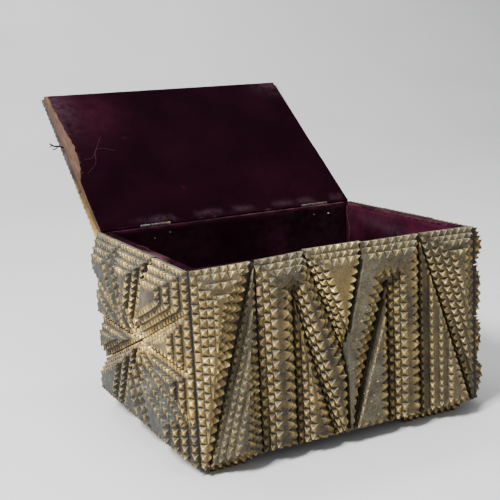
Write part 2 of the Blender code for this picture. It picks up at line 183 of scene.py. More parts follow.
def bronze(name, deep, mid, bright, dust, metal, crisp):
    """Old bronze paint on carved wood: painted shade in the cuts and underneath,
    rubbed paint and a painted highlight on the points, grey dust on what looks up."""
    g = Nodes(name)
    wear_and_shade, bare, tone, old = g.attr("wear_and_shade"), g.attr("bare"), g.attr("tone"), g.attr("dust")
    big = g.noise(28, 3)
    fine = g.noise(900, 4, 0.65)
    med = g.noise(170, 4, 0.6)
    # brush and wood grain along the strips
    grain = g.noise(1.0, 4, 0.6, g.stretch(1600, 1600, 260))
    # the first attribute is high on the points, where the paint is rubbed bright, and low down in the cuts and at the
    # foot of each layer, where it is painted shade
    shade = g.math("ADD", g.math("MULTIPLY", wear_and_shade, 0.62), g.math("MULTIPLY", g.math("SUBTRACT", med, 0.5), 0.75))
    shade = g.math("ADD", shade, g.math("MULTIPLY", g.math("SUBTRACT", big, 0.5), 0.55))
    shade = g.math("ADD", shade, g.math("MULTIPLY", g.math("SUBTRACT", tone, 0.5), 0.30))
    shade = g.math("ADD", shade, g.math("MULTIPLY", g.math("SUBTRACT", fine, 0.5), 0.55), True)
    shade = g.math("SUBTRACT", shade, g.math("MULTIPLY", old, 0.10), True)
    shade = g.math("ADD", 0.47, g.math("MULTIPLY", g.math("SUBTRACT", shade, 0.47), crisp), True)
    col = g.ramp(shade, (0.0, deep), (0.26, tuple(0.65 * a + 0.35 * b for a, b in zip(deep, mid))), (0.54, mid), (0.95, bright))
    # the ridges between two cuts get rubbed paint and a painted highlight, the bottoms of the cuts painted shade
    cor = g.t.nodes.new("ShaderNodeAttribute")
    cor.attribute_name = "corner"
    xyz = g.t.nodes.new("ShaderNodeSeparateXYZ")
    g.link(cor.outputs["Vector"], xyz.inputs[0])
    rough_edge = g.math("ADD", 0.02, g.math("MULTIPLY", med, 0.15))
    ridge_rub_and_highlight = g.math("MAXIMUM", g.math("LESS_THAN", xyz.outputs[0], rough_edge), g.math("LESS_THAN", xyz.outputs[1], rough_edge))
    ridge_rub_and_highlight = g.math("MULTIPLY", ridge_rub_and_highlight, g.ramp(fine, (0.38, 0.25), (0.60, 1.0)))
    painted_cut_shade = g.ramp(xyz.outputs[2], (0.0, 1.0), (0.24, 0.0))
    col = g.mix(g.math("MULTIPLY", ridge_rub_and_highlight, 0.30), col, bright)
    col = g.mix(g.math("MULTIPLY", painted_cut_shade, min(0.95, 0.78 * crisp)), col, tuple(0.5 * c for c in deep))
    # painted shade on the faces that look down
    under = g.ramp(g.math("MULTIPLY", g.up(), -1.0), (0.02, 0.0), (0.45, 1.0))
    col = g.mix(g.math("MULTIPLY", under, 0.80), col, tuple(0.75 * a + 0.10 * b for a, b in zip(deep, mid)))
    # dark grime in mottled patches, and painted shade, both heaviest in the cuts
    grime_and_shade = g.ramp(g.math("SUBTRACT", med, g.math("MULTIPLY", wear_and_shade, 0.35)), (0.32, 0.0), (0.55, 1.0))
    col = g.mix(g.math("MULTIPLY", grime_and_shade, 0.50 * crisp), col, tuple(0.55 * c for c in deep))
    # dust on upward faces
    upward = g.ramp(g.up(), (0.35, 0.0), (0.95, 1.0))
    cloud = g.noise(60, 4)
    dusty = g.math("MULTIPLY", upward, g.ramp(cloud, (0.30, 0.20), (0.62, 0.75)))
    dusty = g.math("MULTIPLY", dusty, g.math("ADD", 1.0, g.math("MULTIPLY", 2.0, g.math("MINIMUM", old, 0.0)), True))
    # grey film where nobody rubs, thinner on the points
    film = g.math("MULTIPLY", g.math("MULTIPLY", g.math("MAXIMUM", old, 0.0), g.ramp(g.noise(120, 5, 0.7), (0.30, 0.15), (0.58, 1.0))),
                  g.ramp(wear_and_shade, (0.30, 0.95), (0.80, 0.10)))
    dusty = g.math("MULTIPLY", g.math("MAXIMUM", dusty, g.math("MULTIPLY", film, 0.75)), g.math("SUBTRACT", 1.0, g.math("MULTIPLY", ridge_rub_and_highlight, 0.7)))
    mottle = g.ramp(g.math("ADD", g.math("MULTIPLY", fine, 0.6), g.math("MULTIPLY", cloud, 0.4)), (0.40, 0.0), (0.60, 1.0))
    col = g.mix(dusty, col, g.mix(mottle, tuple(0.30 * c for c in dust), dust))
    # broken points show pale or reddish wood
    wood = g.mix(g.noise(500, 3), (0.24, 0.11, 0.045), (0.46, 0.27, 0.13))
    spots = g.ramp(g.voronoi(95), (0.035, 1.0), (0.06, 0.0))
    bare_all = g.math("MAXIMUM", g.ramp(bare, (0.45, 0.0), (0.6, 1.0)), g.math("MULTIPLY", spots, g.ramp(med, (0.58, 0.0), (0.66, 1.0))))
    col = g.mix(bare_all, col, wood)
    # pale flecks stuck in the grey film
    flakes = g.math("MULTIPLY", g.ramp(g.voronoi(240), (0.09, 1.0), (0.15, 0.0)), g.ramp(g.noise(75, 3), (0.47, 0.0), (0.56, 0.85)))
    flakes = g.math("MULTIPLY", flakes, g.math("MULTIPLY", g.math("MAXIMUM", old, 0.0), 1.2), True)
    col = g.mix(flakes, col, (0.44, 0.39, 0.27))
    g.put(g.p.inputs["Base Color"], col)
    rough = g.math("ADD", g.ramp(shade, (0.1, 0.72), (0.8, 0.36)), g.math("MULTIPLY", dusty, 0.25), True)
    g.put(g.p.inputs["Roughness"], g.math("MAXIMUM", rough, g.math("MULTIPLY", bare_all, 0.8)))
    met = g.math("MULTIPLY", g.ramp(shade, (0.15, 0.15 * metal), (0.7, metal)), g.math("SUBTRACT", 1.0, g.math("MAXIMUM", dusty, bare_all), True))
    g.put(g.p.inputs["Metallic"], met)
    h = g.math("ADD", g.math("MULTIPLY", fine, 0.4), g.math("MULTIPLY", grain, 0.6))
    g.put(g.p.inputs["Normal"], g.bump(h, 0.8, 0.00040))
    return g.m


def bare_wood(name, dark, light, along, turn=(0, 0, 0)):
    g = Nodes(name)
    st = {"X": (60, 900, 900), "Y": (900, 60, 900), "Z": (900, 900, 60)}[along]
    grain = g.noise(1.0, 5, 0.65, g.stretch(*st, rot=turn), 0.4)
    blot = g.noise(40, 4)
    col = g.ramp(grain, (0.30, dark), (0.55, tuple(0.5 * (a + b) for a, b in zip(dark, light))), (0.75, light))
    col = g.mix(g.ramp(blot, (0.5, 0.0), (0.75, 0.6)), col, tuple(0.35 * c for c in dark))
    g.put(g.p.inputs["Base Color"], col)
    g.put(g.p.inputs["Roughness"], g.ramp(grain, (0.2, 0.85), (0.8, 0.6)))
    g.put(g.p.inputs["Normal"], g.bump(grain, 0.6, 0.0004))
    return g.m


def velvet(name, deep, nap, worn):
    """Cotton velvet gone nearly black, with a plum sheen and rubbed patches
    (attribute rub)."""
    g = Nodes(name)
    rub, crimson_nap_and_light, bald_and_sheen = g.attr("rub"), g.attr("nap"), g.attr("bald_and_sheen")
    pile = g.noise(5200, 2, 0.7)
    swirl = g.noise(14, 5, 0.6, None, 0.8)
    streak = g.noise(95, 5, 0.7)
    lay = g.math("ADD", g.math("MULTIPLY", swirl, 0.6), g.math("MULTIPLY", streak, 0.4))
    col = g.ramp(lay, (0.26, deep), (0.50, tuple(0.5 * a + 0.5 * b for a, b in zip(deep, nap))), (0.78, nap))
    col = g.mix(g.math("MULTIPLY", g.math("SUBTRACT", pile, 0.35, True), 0.7), col, tuple(1.8 * c for c in nap))
    fuzz = g.noise(420, 4, 0.7)
    r = g.ramp(g.math("ADD", rub, g.math("MULTIPLY", g.math("SUBTRACT", fuzz, 0.5), 1.1)), (0.42, 0.0), (0.85, 1.0))
    col = g.mix(r, col, worn)
    lint = g.ramp(g.voronoi(150), (0.020, 1.0), (0.034, 0.0))
    col = g.mix(g.math("MULTIPLY", lint, g.ramp(g.noise(90, 2), (0.60, 0.0), (0.66, 0.55))), col, (0.30, 0.18, 0.17))
    # crimson where the pile lies over, and on the right end wall crimson painted light, brighter towards its top
    col = g.mix(g.math("MULTIPLY", crimson_nap_and_light, g.ramp(lay, (0.34, 0.25), (0.66, 1.0))), col, (0.058, 0.009, 0.024))
    # bald patches, the ground weave grey with age, and in the same grey a painted sheen across the right end wall
    bald_sheen_mask = g.math("MULTIPLY", bald_and_sheen, g.ramp(g.noise(160, 5, 0.75), (0.36, 0.1), (0.60, 1.0)), True)
    col = g.mix(bald_sheen_mask, col, (0.034, 0.016, 0.023))
    g.put(g.p.inputs["Base Color"], col)
    g.put(g.p.inputs["Roughness"], g.ramp(lay, (0.3, 0.95), (0.7, 0.8)))
    g.p.inputs["Specular IOR Level"].default_value = 0.015
    g.p.inputs["Sheen Weight"].default_value = 0.02
    g.p.inputs["Sheen Roughness"].default_value = 0.35
    g.p.inputs["Sheen Tint"].default_value = (0.55, 0.10, 0.22, 1.0)
    g.put(g.p.inputs["Normal"], g.bump(pile, 0.5, 0.0003, g.bump(lay, 0.35, 0.0012)))
    return g.m


def metal(name, dark, light):
    g = Nodes(name)
    n = g.noise(420, 5, 0.7)
    scratch = g.noise(1.0, 3, 0.6, g.stretch(120, 2200, 2200))
    col = g.ramp(n, (0.35, dark), (0.60, light))
    rust = g.ramp(g.noise(150, 4), (0.56, 0.0), (0.68, 0.8))
    col = g.mix(rust, col, (0.16, 0.07, 0.03))
    # the nail points that come through the wall are still bright
    col = g.mix(g.attr("point"), col, (0.42, 0.39, 0.35))
    g.put(g.p.inputs["Base Color"], col)
    g.put(g.p.inputs["Metallic"], g.math("SUBTRACT", 1.0, rust, True))
    g.put(g.p.inputs["Roughness"], g.ramp(scratch, (0.3, 0.28), (0.7, 0.52)))
    g.put(g.p.inputs["Normal"], g.bump(scratch, 0.3, 0.0001))
    return g.m


BRONZE = bronze("worn_bronze_paint", (0.014, 0.009, 0.003), (0.275, 0.183, 0.052), (1.0, 0.79, 0.36), (0.150, 0.137, 0.090), 0.5, 1.15)
BRONZE_END = bronze("worn_bronze_paint_end", (0.011, 0.007, 0.003), (0.45, 0.275, 0.062), (1.0, 0.74, 0.27), (0.112, 0.120, 0.108), 0.55, 1.5)
# the carcass boards are nearly black: dark paint, and painted shade where they show in the gaps between the carved
# pieces
BOARD = bare_wood("dark_carcass_and_gap_shade", (0.008, 0.006, 0.004), (0.034, 0.024, 0.014), "X")
BOARD_Y = bare_wood("stained_pine_lid", (0.012, 0.006, 0.003), (0.140, 0.052, 0.020), "Y", (OPEN, 0, 0))
VELVET = velvet("plum_velvet", (0.0028, 0.0003, 0.0012), (0.0046, 0.0005, 0.0020), (0.085, 0.036, 0.040))
STEEL = metal("hinge_plate", (0.050, 0.045, 0.040), (0.17, 0.155, 0.145))


# ---- mesh helpers ----------------------------------------------------------------
class Mesh:
    """Collects points, faces and per-point values, then makes one object."""

    def __init__(self, name, names=("wear_and_shade", "bare", "tone", "dust")):
        self.name, self.names = name, names
        self.v, self.f, self.a, self.sides = [], [], [], {}

    def p(self, co, *vals):
        self.v.append(co)
        self.a.append(vals + (0.0,) * (len(self.names) - len(vals)))
        return len(self.v) - 1

    def side(self, face, order):
        """One side of a V cut.  order names its corners: 0 inner end of the
        cut, 1 lower end, 2 point of the tooth."""
        self.sides[len(self.f)] = order
        self.f.append(face)

    def make(self, matrix, mat, body, nodes=(), slot=None, smooth=False):
        me = bpy.data.meshes.new(self.name)
        me.from_pydata([matrix @ Vector(c) for c in self.v], [], self.f)
        for i, n in enumerate(self.names):
            at = me.attributes.new(n, "FLOAT", "POINT")
            at.data.foreach_set("value", [a[i] for a in self.a])
        if self.sides:
            at = me.attributes.new("corner", "FLOAT_VECTOR", "CORNER")
            vals = []
            for i, face in enumerate(self.f):
                for j in range(len(face)):
                    vals += [float(self.sides[i][j] == c) for c in range(3)] if i in self.sides else [0.33] * 3
            at.data.foreach_set("vector", vals)
        if smooth:
            me.polygons.foreach_set("use_smooth", [True] * len(me.polygons))
        me.validate()
        me.update()
        ob = bpy.data.objects.new(self.name, me)
        bpy.context.scene.collection.objects.link(ob)
        me.materials.append(mat)
        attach(ob, body)
        if nodes:
            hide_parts(*nodes)
        return ob


def ray_room(poly, edge, point, nrm):
    """Distance from a point on one edge, inwards, to the other side."""
    best = 1e9
    n = len(poly)
    for j in range(n):
        if j == edge:
            continue
        a, b = Vector(poly[j]), Vector(poly[(j + 1) % n])
        d = b - a
        den = nrm.x * d.y - nrm.y * d.x
        if abs(den) < 1e-9:
            continue
        w = a - point
        t = (w.x * d.y - w.y * d.x) / den
        s = (w.x * nrm.y - w.y * nrm.x) / den
        if t > 0.01 and -0.001 <= s <= 1.001:
            best = min(best, t)
    return best


def slab(B, poly, z0, z1, rnd, pitch=6.6, cuts_in=4.6, deep=3.7, tone=0.5, chips=(), broken=0.004, worn=1.0):
    """One notched layer: a flat board with V cuts all along its edges, each
    cut from the top face down to the edge face.  cuts_in is how far in they
    reach, for all edges or edge by edge; 0 leaves an edge plain."""
    if not isinstance(cuts_in, (list, tuple)):
        cuts_in = [cuts_in] * len(poly)
    n = len(poly)
    pts = [Vector(p) for p in poly]
    ring, sides, bottom = [], [], []
    ang = []
    for i in range(n):
        a = (pts[i - 1] - pts[i]).normalized()
        b = (pts[(i + 1) % n] - pts[i]).normalized()
        turn = ((pts[i].x - pts[i - 1].x) * (pts[(i + 1) % n].y - pts[i].y)
                - (pts[i].y - pts[i - 1].y) * (pts[(i + 1) % n].x - pts[i].x))
        inner = math.acos(max(-1, min(1, a.dot(b))))
        ang.append(inner if turn > 0 else 2 * math.pi - inner)
    edges = []
    for i in range(n):
        a, b = pts[i], pts[(i + 1) % n]
        L = (b - a).length
        e = (b - a) / L
        nrm = Vector((-e.y, e.x))
        cuts = []
        cut = cuts_in[i] if i < len(cuts_in) else cuts_in[-1]
        if cut > 0 and L > pitch * 0.7:
            m = max(1, round(L / pitch))
            w = L / m
            for j in range(m):
                s = (j + 0.5 + rnd.uniform(-0.06, 0.06)) * w
                h = cut * rnd.uniform(0.86, 1.05)
                if ang[i] < 3.0:
                    h = min(h, 0.80 * s * math.tan(ang[i] / 2))
                k = (i + 1) % n
                if ang[k] < 3.0:
                    h = min(h, 0.80 * (L - s) * math.tan(ang[k] / 2))
                h = min(h, 0.45 * ray_room(poly, i, a + e * s, nrm))
                if h < 0.5:
                    continue
                v = min(deep * rnd.uniform(0.88, 1.04) * min(1.0, 0.3 + h / 3.5), z1 - z0 - 0.3)
                cuts.append((s, h, v))
        edges.append((a, b, e, nrm, L, cuts))
    corner = []
    for i in range(n):
        c = pts[i]
        near = any((c - Vector(q[:2])).length < q[2] for q in chips)
        plain = not edges[i][5] or not edges[i - 1][5]
        # the first value of each point is high on the points of the teeth, where the paint is rubbed, and low at the
        # bottoms of the cuts and the foot of the layer, where it paints shade
        top = B.p((c.x, c.y, z1 - (1.2 if near else rnd.uniform(0, 0.25))), (0.36 if plain else 0.8) * worn, 1.0 if near else 0.0, tone)
        low = B.p((c.x, c.y, z0), 0.05, 0.0, tone)
        corner.append((top, low))
    for i in range(n):
        a, b, e, nrm, L, cuts = edges[i]
        prev = edges[i - 1][5]
        if not cuts or not prev:
            ring.append(corner[i][0])
        vt = []
        for (s, h, v) in cuts:
            q = a + e * s
            t_in = q + nrm * h
            vt.append((B.p((t_in.x, t_in.y, z1), 0.34, 0.0, tone), B.p((q.x, q.y, z1 - v), 0.12, 0.0, tone), B.p((q.x, q.y, z0), 0.0, 0.0, tone), s))
        sides.append(vt)
        ring.extend(x[0] for x in vt)
        bottom.append(corner[i][1])
        bottom.extend(x[2] for x in vt)
    for i in range(n):
        a, b, e, nrm, L, cuts = edges[i]
        k = (i + 1) % n
        vt = sides[i]
        c0t, c0b = corner[i]
        c1t, c1b = corner[k]
        if not vt:
            B.f.append((c0b, c1b, c1t, c0t))
            continue
        # start and end of the strip
        B.f.append((c0b, vt[0][2], vt[0][1], c0t))
        B.f.append((vt[-1][2], c1b, c1t, vt[-1][1]))
        B.side((vt[0][0], c0t, vt[0][1]), (0, 2, 1))
        B.side((vt[-1][0], vt[-1][1], c1t), (0, 1, 2))
        for x, y in zip(vt, vt[1:]):
            mid = (x[3] + y[3]) / 2
            w = y[3] - x[3]
            q = a + e * mid
            near = any((q - Vector(c[:2])).length < c[2] for c in chips)
            gone = near or rnd.random() < broken
            half = w * (rnd.uniform(0.22, 0.32) if gone else rnd.uniform(0.02, 0.085))
            drop = rnd.uniform(0.5, 1.3) if gone else rnd.uniform(0.0, 0.22)
            back = rnd.uniform(0.2, 0.7) if gone else rnd.uniform(0.0, 0.15)
            lean = rnd.uniform(-0.25, 0.25)
            q1 = q + e * (lean - half) + nrm * back
            q2 = q + e * (lean + half) + nrm * back
            wv = (0.6 if gone else rnd.uniform(0.75, 1.0)) * worn
            br = 1.0 if (near or (gone and rnd.random() < 0.5)) else 0.0
            p1 = B.p((q1.x, q1.y, z1 - drop), wv, br, tone)
            p2 = B.p((q2.x, q2.y, z1 - drop), wv, br, tone)
            B.side((x[0], x[1], p1), (0, 1, 2))
            B.side((y[0], p2, y[1]), (0, 2, 1))
            B.f.append((x[1], y[1], p2, p1))
            B.f.append((x[2], y[2], y[1], x[1]))
            B.f.append((x[0], p1, p2, y[0]))
        if sides[i - 1]:
            B.f.append((sides[i - 1][-1][0], c0t, vt[0][0]))
    B.f.append(tuple(ring))
    B.f.append(tuple(reversed(bottom)))


def fleck(B, x, z, h, r, rnd):
    """A small flake lost from a flat face, the bare wood showing."""
    m = 7
    turn = rnd.uniform(0, 6)
    ring = []
    for i in range(m):
        a = turn + 2 * math.pi * i / m
        q = r * rnd.uniform(0.6, 1.1)
        ring.append(B.p((x + q * math.cos(a), z + 0.8 * q * math.sin(a), h + 0.05), 0.6, 1.0, 0.5))
    low = [B.p((B.v[k][0], B.v[k][1], h - 0.2), 0.6, 1.0, 0.5) for k in ring]
    B.f.append(tuple(ring))
    B.f.append(tuple(reversed(low)))
    for i in range(m):
        B.f.append((ring[i], low[i], low[(i + 1) % m], ring[(i + 1) % m]))


def inset(outline, steps):
    """Convex outline with each edge moved inwards by its own distance."""
    poly = [Vector(p) for p in outline]
    n = len(outline)
    for i in range(n):
        a, b = Vector(outline[i]), Vector(outline[(i + 1) % n])
        e = (b - a).normalized()
        nrm = Vector((-e.y, e.x))
        base = nrm.dot(a) + steps[i]
        out = []
        for j, p in enumerate(poly):
            q = poly[(j + 1) % len(poly)]
            dp, dq = nrm.dot(p) - base, nrm.dot(q) - base
            if dp >= 0:
                out.append(p)
            if (dp > 0) != (dq > 0) and abs(dp - dq) > 1e-9:
                out.append(p + (q - p) * (dp / (dp - dq)))
        poly = []
        for p in out:
            if not poly or (p - poly[-1]).length > 0.05:
                poly.append(p)
        if len(poly) > 1 and (poly[0] - poly[-1]).length < 0.05:
            poly.pop()
    return [tuple(p) for p in poly]


def layer_steps(edge_insets, k):
    return [e[k] if isinstance(e, tuple) else e * k for e in edge_insets]


def nested(outline, edge_insets, count):
    return [inset(outline, layer_steps(edge_insets, k)) for k in range(count)]


def shaken(poly, rnd, amount):
    """A hand-cut layer: shifted and turned by a hair."""
    cx = sum(p[0] for p in poly) / len(poly)
    cy = sum(p[1] for p in poly) / len(poly)
    dx, dy = rnd.uniform(-amount, amount), rnd.uniform(-amount, amount)
    t = rnd.uniform(-0.0022, 0.0022)
    return [(cx + (x - cx) - (y - cy) * t + dx, cy + (y - cy) + (x - cx) * t + dy) for x, y in poly]


def stack(name, layers, t, matrix, mat, body, slot, seed, pitch=6.6, cuts=4.6, last=6.0, chips=(), fine=None, dust=None, flecks=(), lift=0.0, painted_highlight=None, **kw):
    """cuts and last: how far the V cuts reach in, on the lower layers and on
    the top one, for all edges or edge by edge.  fine gives single layers a
    spacing of their own, dust says how grey the piece is from place to place,
    lift shifts the tone of the whole piece (on the left end's star it is painted
    shade and painted light), and the highlight function paints a highlight into
    the tone point by point."""
    rnd = random.Random(seed)
    B = Mesh("carved_" + name)
    for k, poly in enumerate(layers):
        z0 = k * t - 0.03 if k else 0.1
        slab(B, shaken(poly, rnd, 0.28), z0, (k + 1) * t + rnd.uniform(-0.1, 0.12), rnd,
             pitch=(fine or {}).get(k, pitch) * rnd.uniform(0.96, 1.04),
             cuts_in=last if k == len(layers) - 1 else cuts, tone=rnd.uniform(0.3, 0.7) + lift, deep=t - 0.35,
             chips=[c for c in chips if c[3] == k], **kw)
    # painted highlight: raise the tone point by point
    if painted_highlight:
        B.a = [(a[0], a[1], a[2] + painted_highlight(v[0], v[1]), a[3]) for a, v in zip(B.a, B.v)]
    for x, z, r, k in flecks:
        fleck(B, x, z, (k + 1) * t + 0.1, r, rnd)
    if dust:
        B.a = [a[:3] + (dust(v[0], v[1]) if callable(dust) else dust,) for a, v in zip(B.a, B.v)]
    return B.make(matrix, mat, body, (name,), slot)


# ---- front -------------------------------------------------------------------------
def zigzag(k, seam):
    left_x = 50.9 + 3.6 * k
    bar_x = 79.0 - 3.6 * k
    left_top, top_z = TOP + 0.8 - 4.0 * k, TOP + 2.5 - 4.0 * k
    bot_z = BOT + 2.5 * k
    cap_z = 122.5 + 3.5 * k
    mid_x = seam - 0.6 * k

    def inner_x(z):
        return 79.8 + 0.276 * (122.5 - z) + (0, 0.9, 3.6)[k]

    def outer_z(x):
        return TOP - (x + 4.0 * k - 90.3) / 0.379

    def outer_x(z):
        return 90.3 + 0.379 * (TOP - z) - 4.0 * k

    return [(left_x, bot_z), (bar_x, bot_z), (bar_x, cap_z), (inner_x(cap_z), cap_z),
            (inner_x(bot_z), bot_z), (mid_x, bot_z), (mid_x, outer_z(mid_x)),
            (outer_x(top_z), top_z), (left_x, left_top)]


def right_zigzag(k):
    """The same piece on the right, cut narrower: its diagonal follows the
    centre V and ends in a point at the foot."""
    top_z, bot_z, mid_x = TOP + 2.7 - 4.0 * k, BOT + 2.5 * k, 120.9 + 0.45 * k
    cap, knee, toe = [((160.5, 117.0), (144.2, 65.0), 124.1), ((156.0, 120.5), (138.0, 65.0), 124.0),
                      ((151.8, 124.0), (131.9, 65.0), 123.6)][k]
    bar_x, right_x = 163.6 + 3.6 * k, 191.7 - 3.6 * k
    return [(right_x, top_z), (120.5 + 0.4 * k + 0.241 * (top_z - 70.0), top_z), (mid_x, 71.7), (mid_x, bot_z),
            (toe, bot_z), knee, cap, (bar_x, cap[1]), (bar_x, bot_z), (right_x, bot_z)]


front_stacks = {
    "front_left_corner_fan": nested([(0.6, BOT), (5.6, BOT), (46.5, TOP + 0.8), (0.6, TOP)],
                                    [3.0, (0, 6.4, 12.0, 17.6), (0, 3.4, 9.5, 17.5), 3.8], 4),
    "front_left_upright": nested([(7.0, BOT), (48.7, BOT), (48.7, 142.0)], [3.0, 4.6, 3.8], 4),
    "front_left_zigzag": [zigzag(k, 120.0) for k in range(3)],
    "front_left_inner_triangle": nested([(80.4, BOT), (111.6, BOT), (80.4, 114.0)], [2.5, 3.0, 3.4], 3),
    "front_centre_v": nested([(119.8, 70.0), (139.0, TOP + 3.5), (89.6, TOP + 3.5)],
                             [(0, 1.7, 3.4), (0, 4.5, 8.5), (0, 2.6, 6.0)], 3),
    "front_right_zigzag": [right_zigzag(k) for k in range(3)],
    "front_right_inner_triangle": nested([(125.3, BOT), (161.4, BOT), (161.4, 115.0)], [2.5, 3.4, 0.5], 3),
    "front_right_upright": nested([(194.2, BOT), (242.8, BOT), (194.2, 142.0)], [3.0, 2.6, 6.4], 4),
    "front_right_corner_fan": nested([(245.6, 2.0), (246.2, 2.0), (246.2, TOP + 1.8), (194.7, TOP + 2.7)],
                                     [3.0, 4.8, (0, 3.8, 7.5, 14.5), 4.8], 4),
}
front_cut = {
    "front_left_corner_fan": dict(pitch=6.8, lift=0.30, cuts=[4.0, 5.2, 5.2, 4.6], last=[4, 5, 4.5, 4.2], fine={3: 4.6}),
    "front_left_upright": dict(pitch=6.2, lift=-0.1, cuts=[4, 5.4, 2.8], last=[5, 5, 3.2], dust=lambda x, z: 0.75 if x < 26 + z * 0.2 else 0.3),
    "front_left_zigzag": dict(pitch=7.6, lift=-0.15, last=[5, 6.2, 5, 5.5, 5, 4.5, 6.5, 5, 5.2]),
    "front_left_inner_triangle": dict(pitch=7.2, last=5.5),
    "front_centre_v": dict(pitch=6.5, lift=0.45, last=5.8, flecks=[(118.2, 95.5, 0.9, 2)]),
    # the diagonal's upper side is plain
    "front_right_zigzag": dict(pitch=7.4, lift=-0.1, cuts=[4.6, 0, 0, 0, 4.8, 5.2, 4.6, 4.6, 4.6, 5.0],
                               last=[5.2, 0, 0, 0, 5, 6.8, 5, 5.5, 5, 6.2], dust=lambda x, z: 0.9 if x < 146 + (z - 100) * 0.26 else 0.05,
                               flecks=[(133.0, 90.5, 1.5, 2), (128.4, 77.0, 0.8, 2), (135.6, 112.0, 0.6, 2), (131.2, 96.0, 0.5, 2)]),
    "front_right_inner_triangle": dict(pitch=7.2, cuts=[4.6, 4.8, 0], last=[5, 6, 1.2], dust=lambda x, z: 0.85 if x < 151 else 0.3,
                                       flecks=[(146.4, 40.3, 1.3, 2), (134.3, 8.5, 1.0, 2), (147.5, 63.0, 0.5, 2), (150.2, 77.0, 0.5, 2)]),
    "front_right_upright": dict(pitch=6.4, cuts=[4.6, 4.6, 2.2], last=[5, 5, 3.8], dust=lambda x, z: 0.35),
    "front_right_corner_fan": dict(pitch=6.6, cuts=4.8, last=5.2),
}


def front_dust(own):
    """Grey along the upper edge and in the piece's own grey places."""
    return lambda x, z: max(own(x, z) if own else 0.0, 0.9 * min(1.0, max(0.0, (z - 126.0) / 16.0)), 0.5 * max(0.0, (x - 190.0) / 56.0))


for i, (name, layers) in enumerate(front_stacks.items()):
    front_cut[name]["dust"] = front_dust(front_cut[name].get("dust"))
    stack(name, layers, T_FRONT, FRONT, BRONZE, "box", "bronze_paint", 100 + i, **front_cut[name])

# ---- ends --------------------------------------------------------------------------
END_L = BOX_D + END_BACK
PETAL_GAP = 0.55
RIGHT_SIDE = 3.2


def petals(length, side):
    c = (length / 2, BODY_H / 2)
    q1, q2 = 0.31 * length, 0.69 * length
    za, zb, zc = 0.23 * BODY_H, 0.49 * BODY_H, 0.79 * BODY_H
    edge, ray = 4.5, 4.0
    lo, hi, x0, x1 = 0.8, BODY_H - 0.2, 0.6, length - 0.6
    return [
        ("back_low", [c, (x0, zb), (x0, za)], [ray, side, ray], 3),
        ("back_high", [c, (x0, zc), (x0, zb)], [ray, side, ray], 3),
        ("back_top", [c, (q1, hi), (x0, hi), (x0, zc)], [ray, edge, side, ray], 4),
        ("top", [c, (q2, hi), (q1, hi)], [ray, edge, ray], 4),
        ("front_top", [c, (x1, zc), (x1, hi), (q2, hi)], [ray, side, edge, ray], 4),
        ("front_high", [c, (x1, zb), (x1, zc)], [ray, side, ray], 3),
        ("front_low", [c, (x1, za), (x1, zb)], [ray, side, ray], 3),
        ("front_bottom", [c, (q2, lo), (x1, lo), (x1, za)], [ray, edge, side, ray], 4),
        ("bottom", [c, (q1, lo), (q2, lo)], [ray, edge, ray], 4),
        ("back_bottom", [c, (x0, za), (x0, lo), (q1, lo)], [ray, side, edge, ray], 4),
    ]


def petal_layers(outline, insets, count):
    centre = outline[0]
    if sum(a[0] * b[1] - a[1] * b[0] for a, b in zip(outline, outline[1:] + outline[:1])) < 0:
        outline = outline[::-1]
        insets = insets[-2::-1] + insets[-1:]
    n = len(outline)
    grown = []
    for k in range(count):
        steps = []
        for i in range(n):
            is_ray = outline[i] == centre or outline[(i + 1) % n] == centre
            steps.append(insets[i] * k + (PETAL_GAP if is_ray else 0.0))
        grown.append(inset(outline, steps))
    return grown


def end_dust(most):
    """Greyer away from the middle of the star, clean again near the front corner."""
    return lambda x, z: (most * min(1.0, math.hypot(x - END_L / 2, z - BODY_H / 2) / 45.0)
                         * (1.0 - 0.85 * min(1.0, max(0.0, (x - END_L + 30.0) / 12.0)) * min(1.0, max(0.0, 1.25 - z / BODY_H))))


def end_painted_highlight(x, z):
    """Painted highlight: the tone is raised most where the petals meet."""
    return 1.4 * math.exp(-(math.hypot(x - END_L / 2, z - BODY_H / 2) / 26.0) ** 2)


# tone offsets per petal: painted shade on the lower petals and painted light on the upper front ones
star_painted_light = {"front_bottom": -0.4, "bottom": -0.3, "back_bottom": -0.3, "front_high": 0.3, "front_top": 0.25}
star_dust = {"front_bottom": 1.0, "bottom": 0.7, "back_bottom": 0.9, "back_low": 0.9, "back_high": 1.0, "back_top": 1.0, "top": 0.55,
             "front_top": 0.55, "front_high": 0.35, "front_low": 0.15}
for i, (petal, outline, insets, count) in enumerate(petals(END_L, 7.6)):
    layers = petal_layers(outline, insets, count)
    stack("left_star_" + petal, layers, T_END, LEFT, BRONZE_END, "box", "bronze_paint_warm", 200 + i, cuts=5.2, last=5.6, lift=star_painted_light.get(petal, 0.0), dust=end_dust(star_dust[petal]), painted_highlight=end_painted_highlight,
          flecks=[(148.3, 82.4, 1.8, 2), (152.5, 78.0, 1.2, 2)] if petal == "front_low" else ())
for i, (petal, outline, insets, count) in enumerate(petals(BOX_D, RIGHT_SIDE)):
    layers = petal_layers(outline, insets, count)
    layers = [[(BOX_D - x, z) for x, z in reversed(layer)] for layer in layers]
    stack("right_star_" + petal, layers, T_END, RIGHT, BRONZE_END, "box", "bronze_paint_warm", 300 + i)

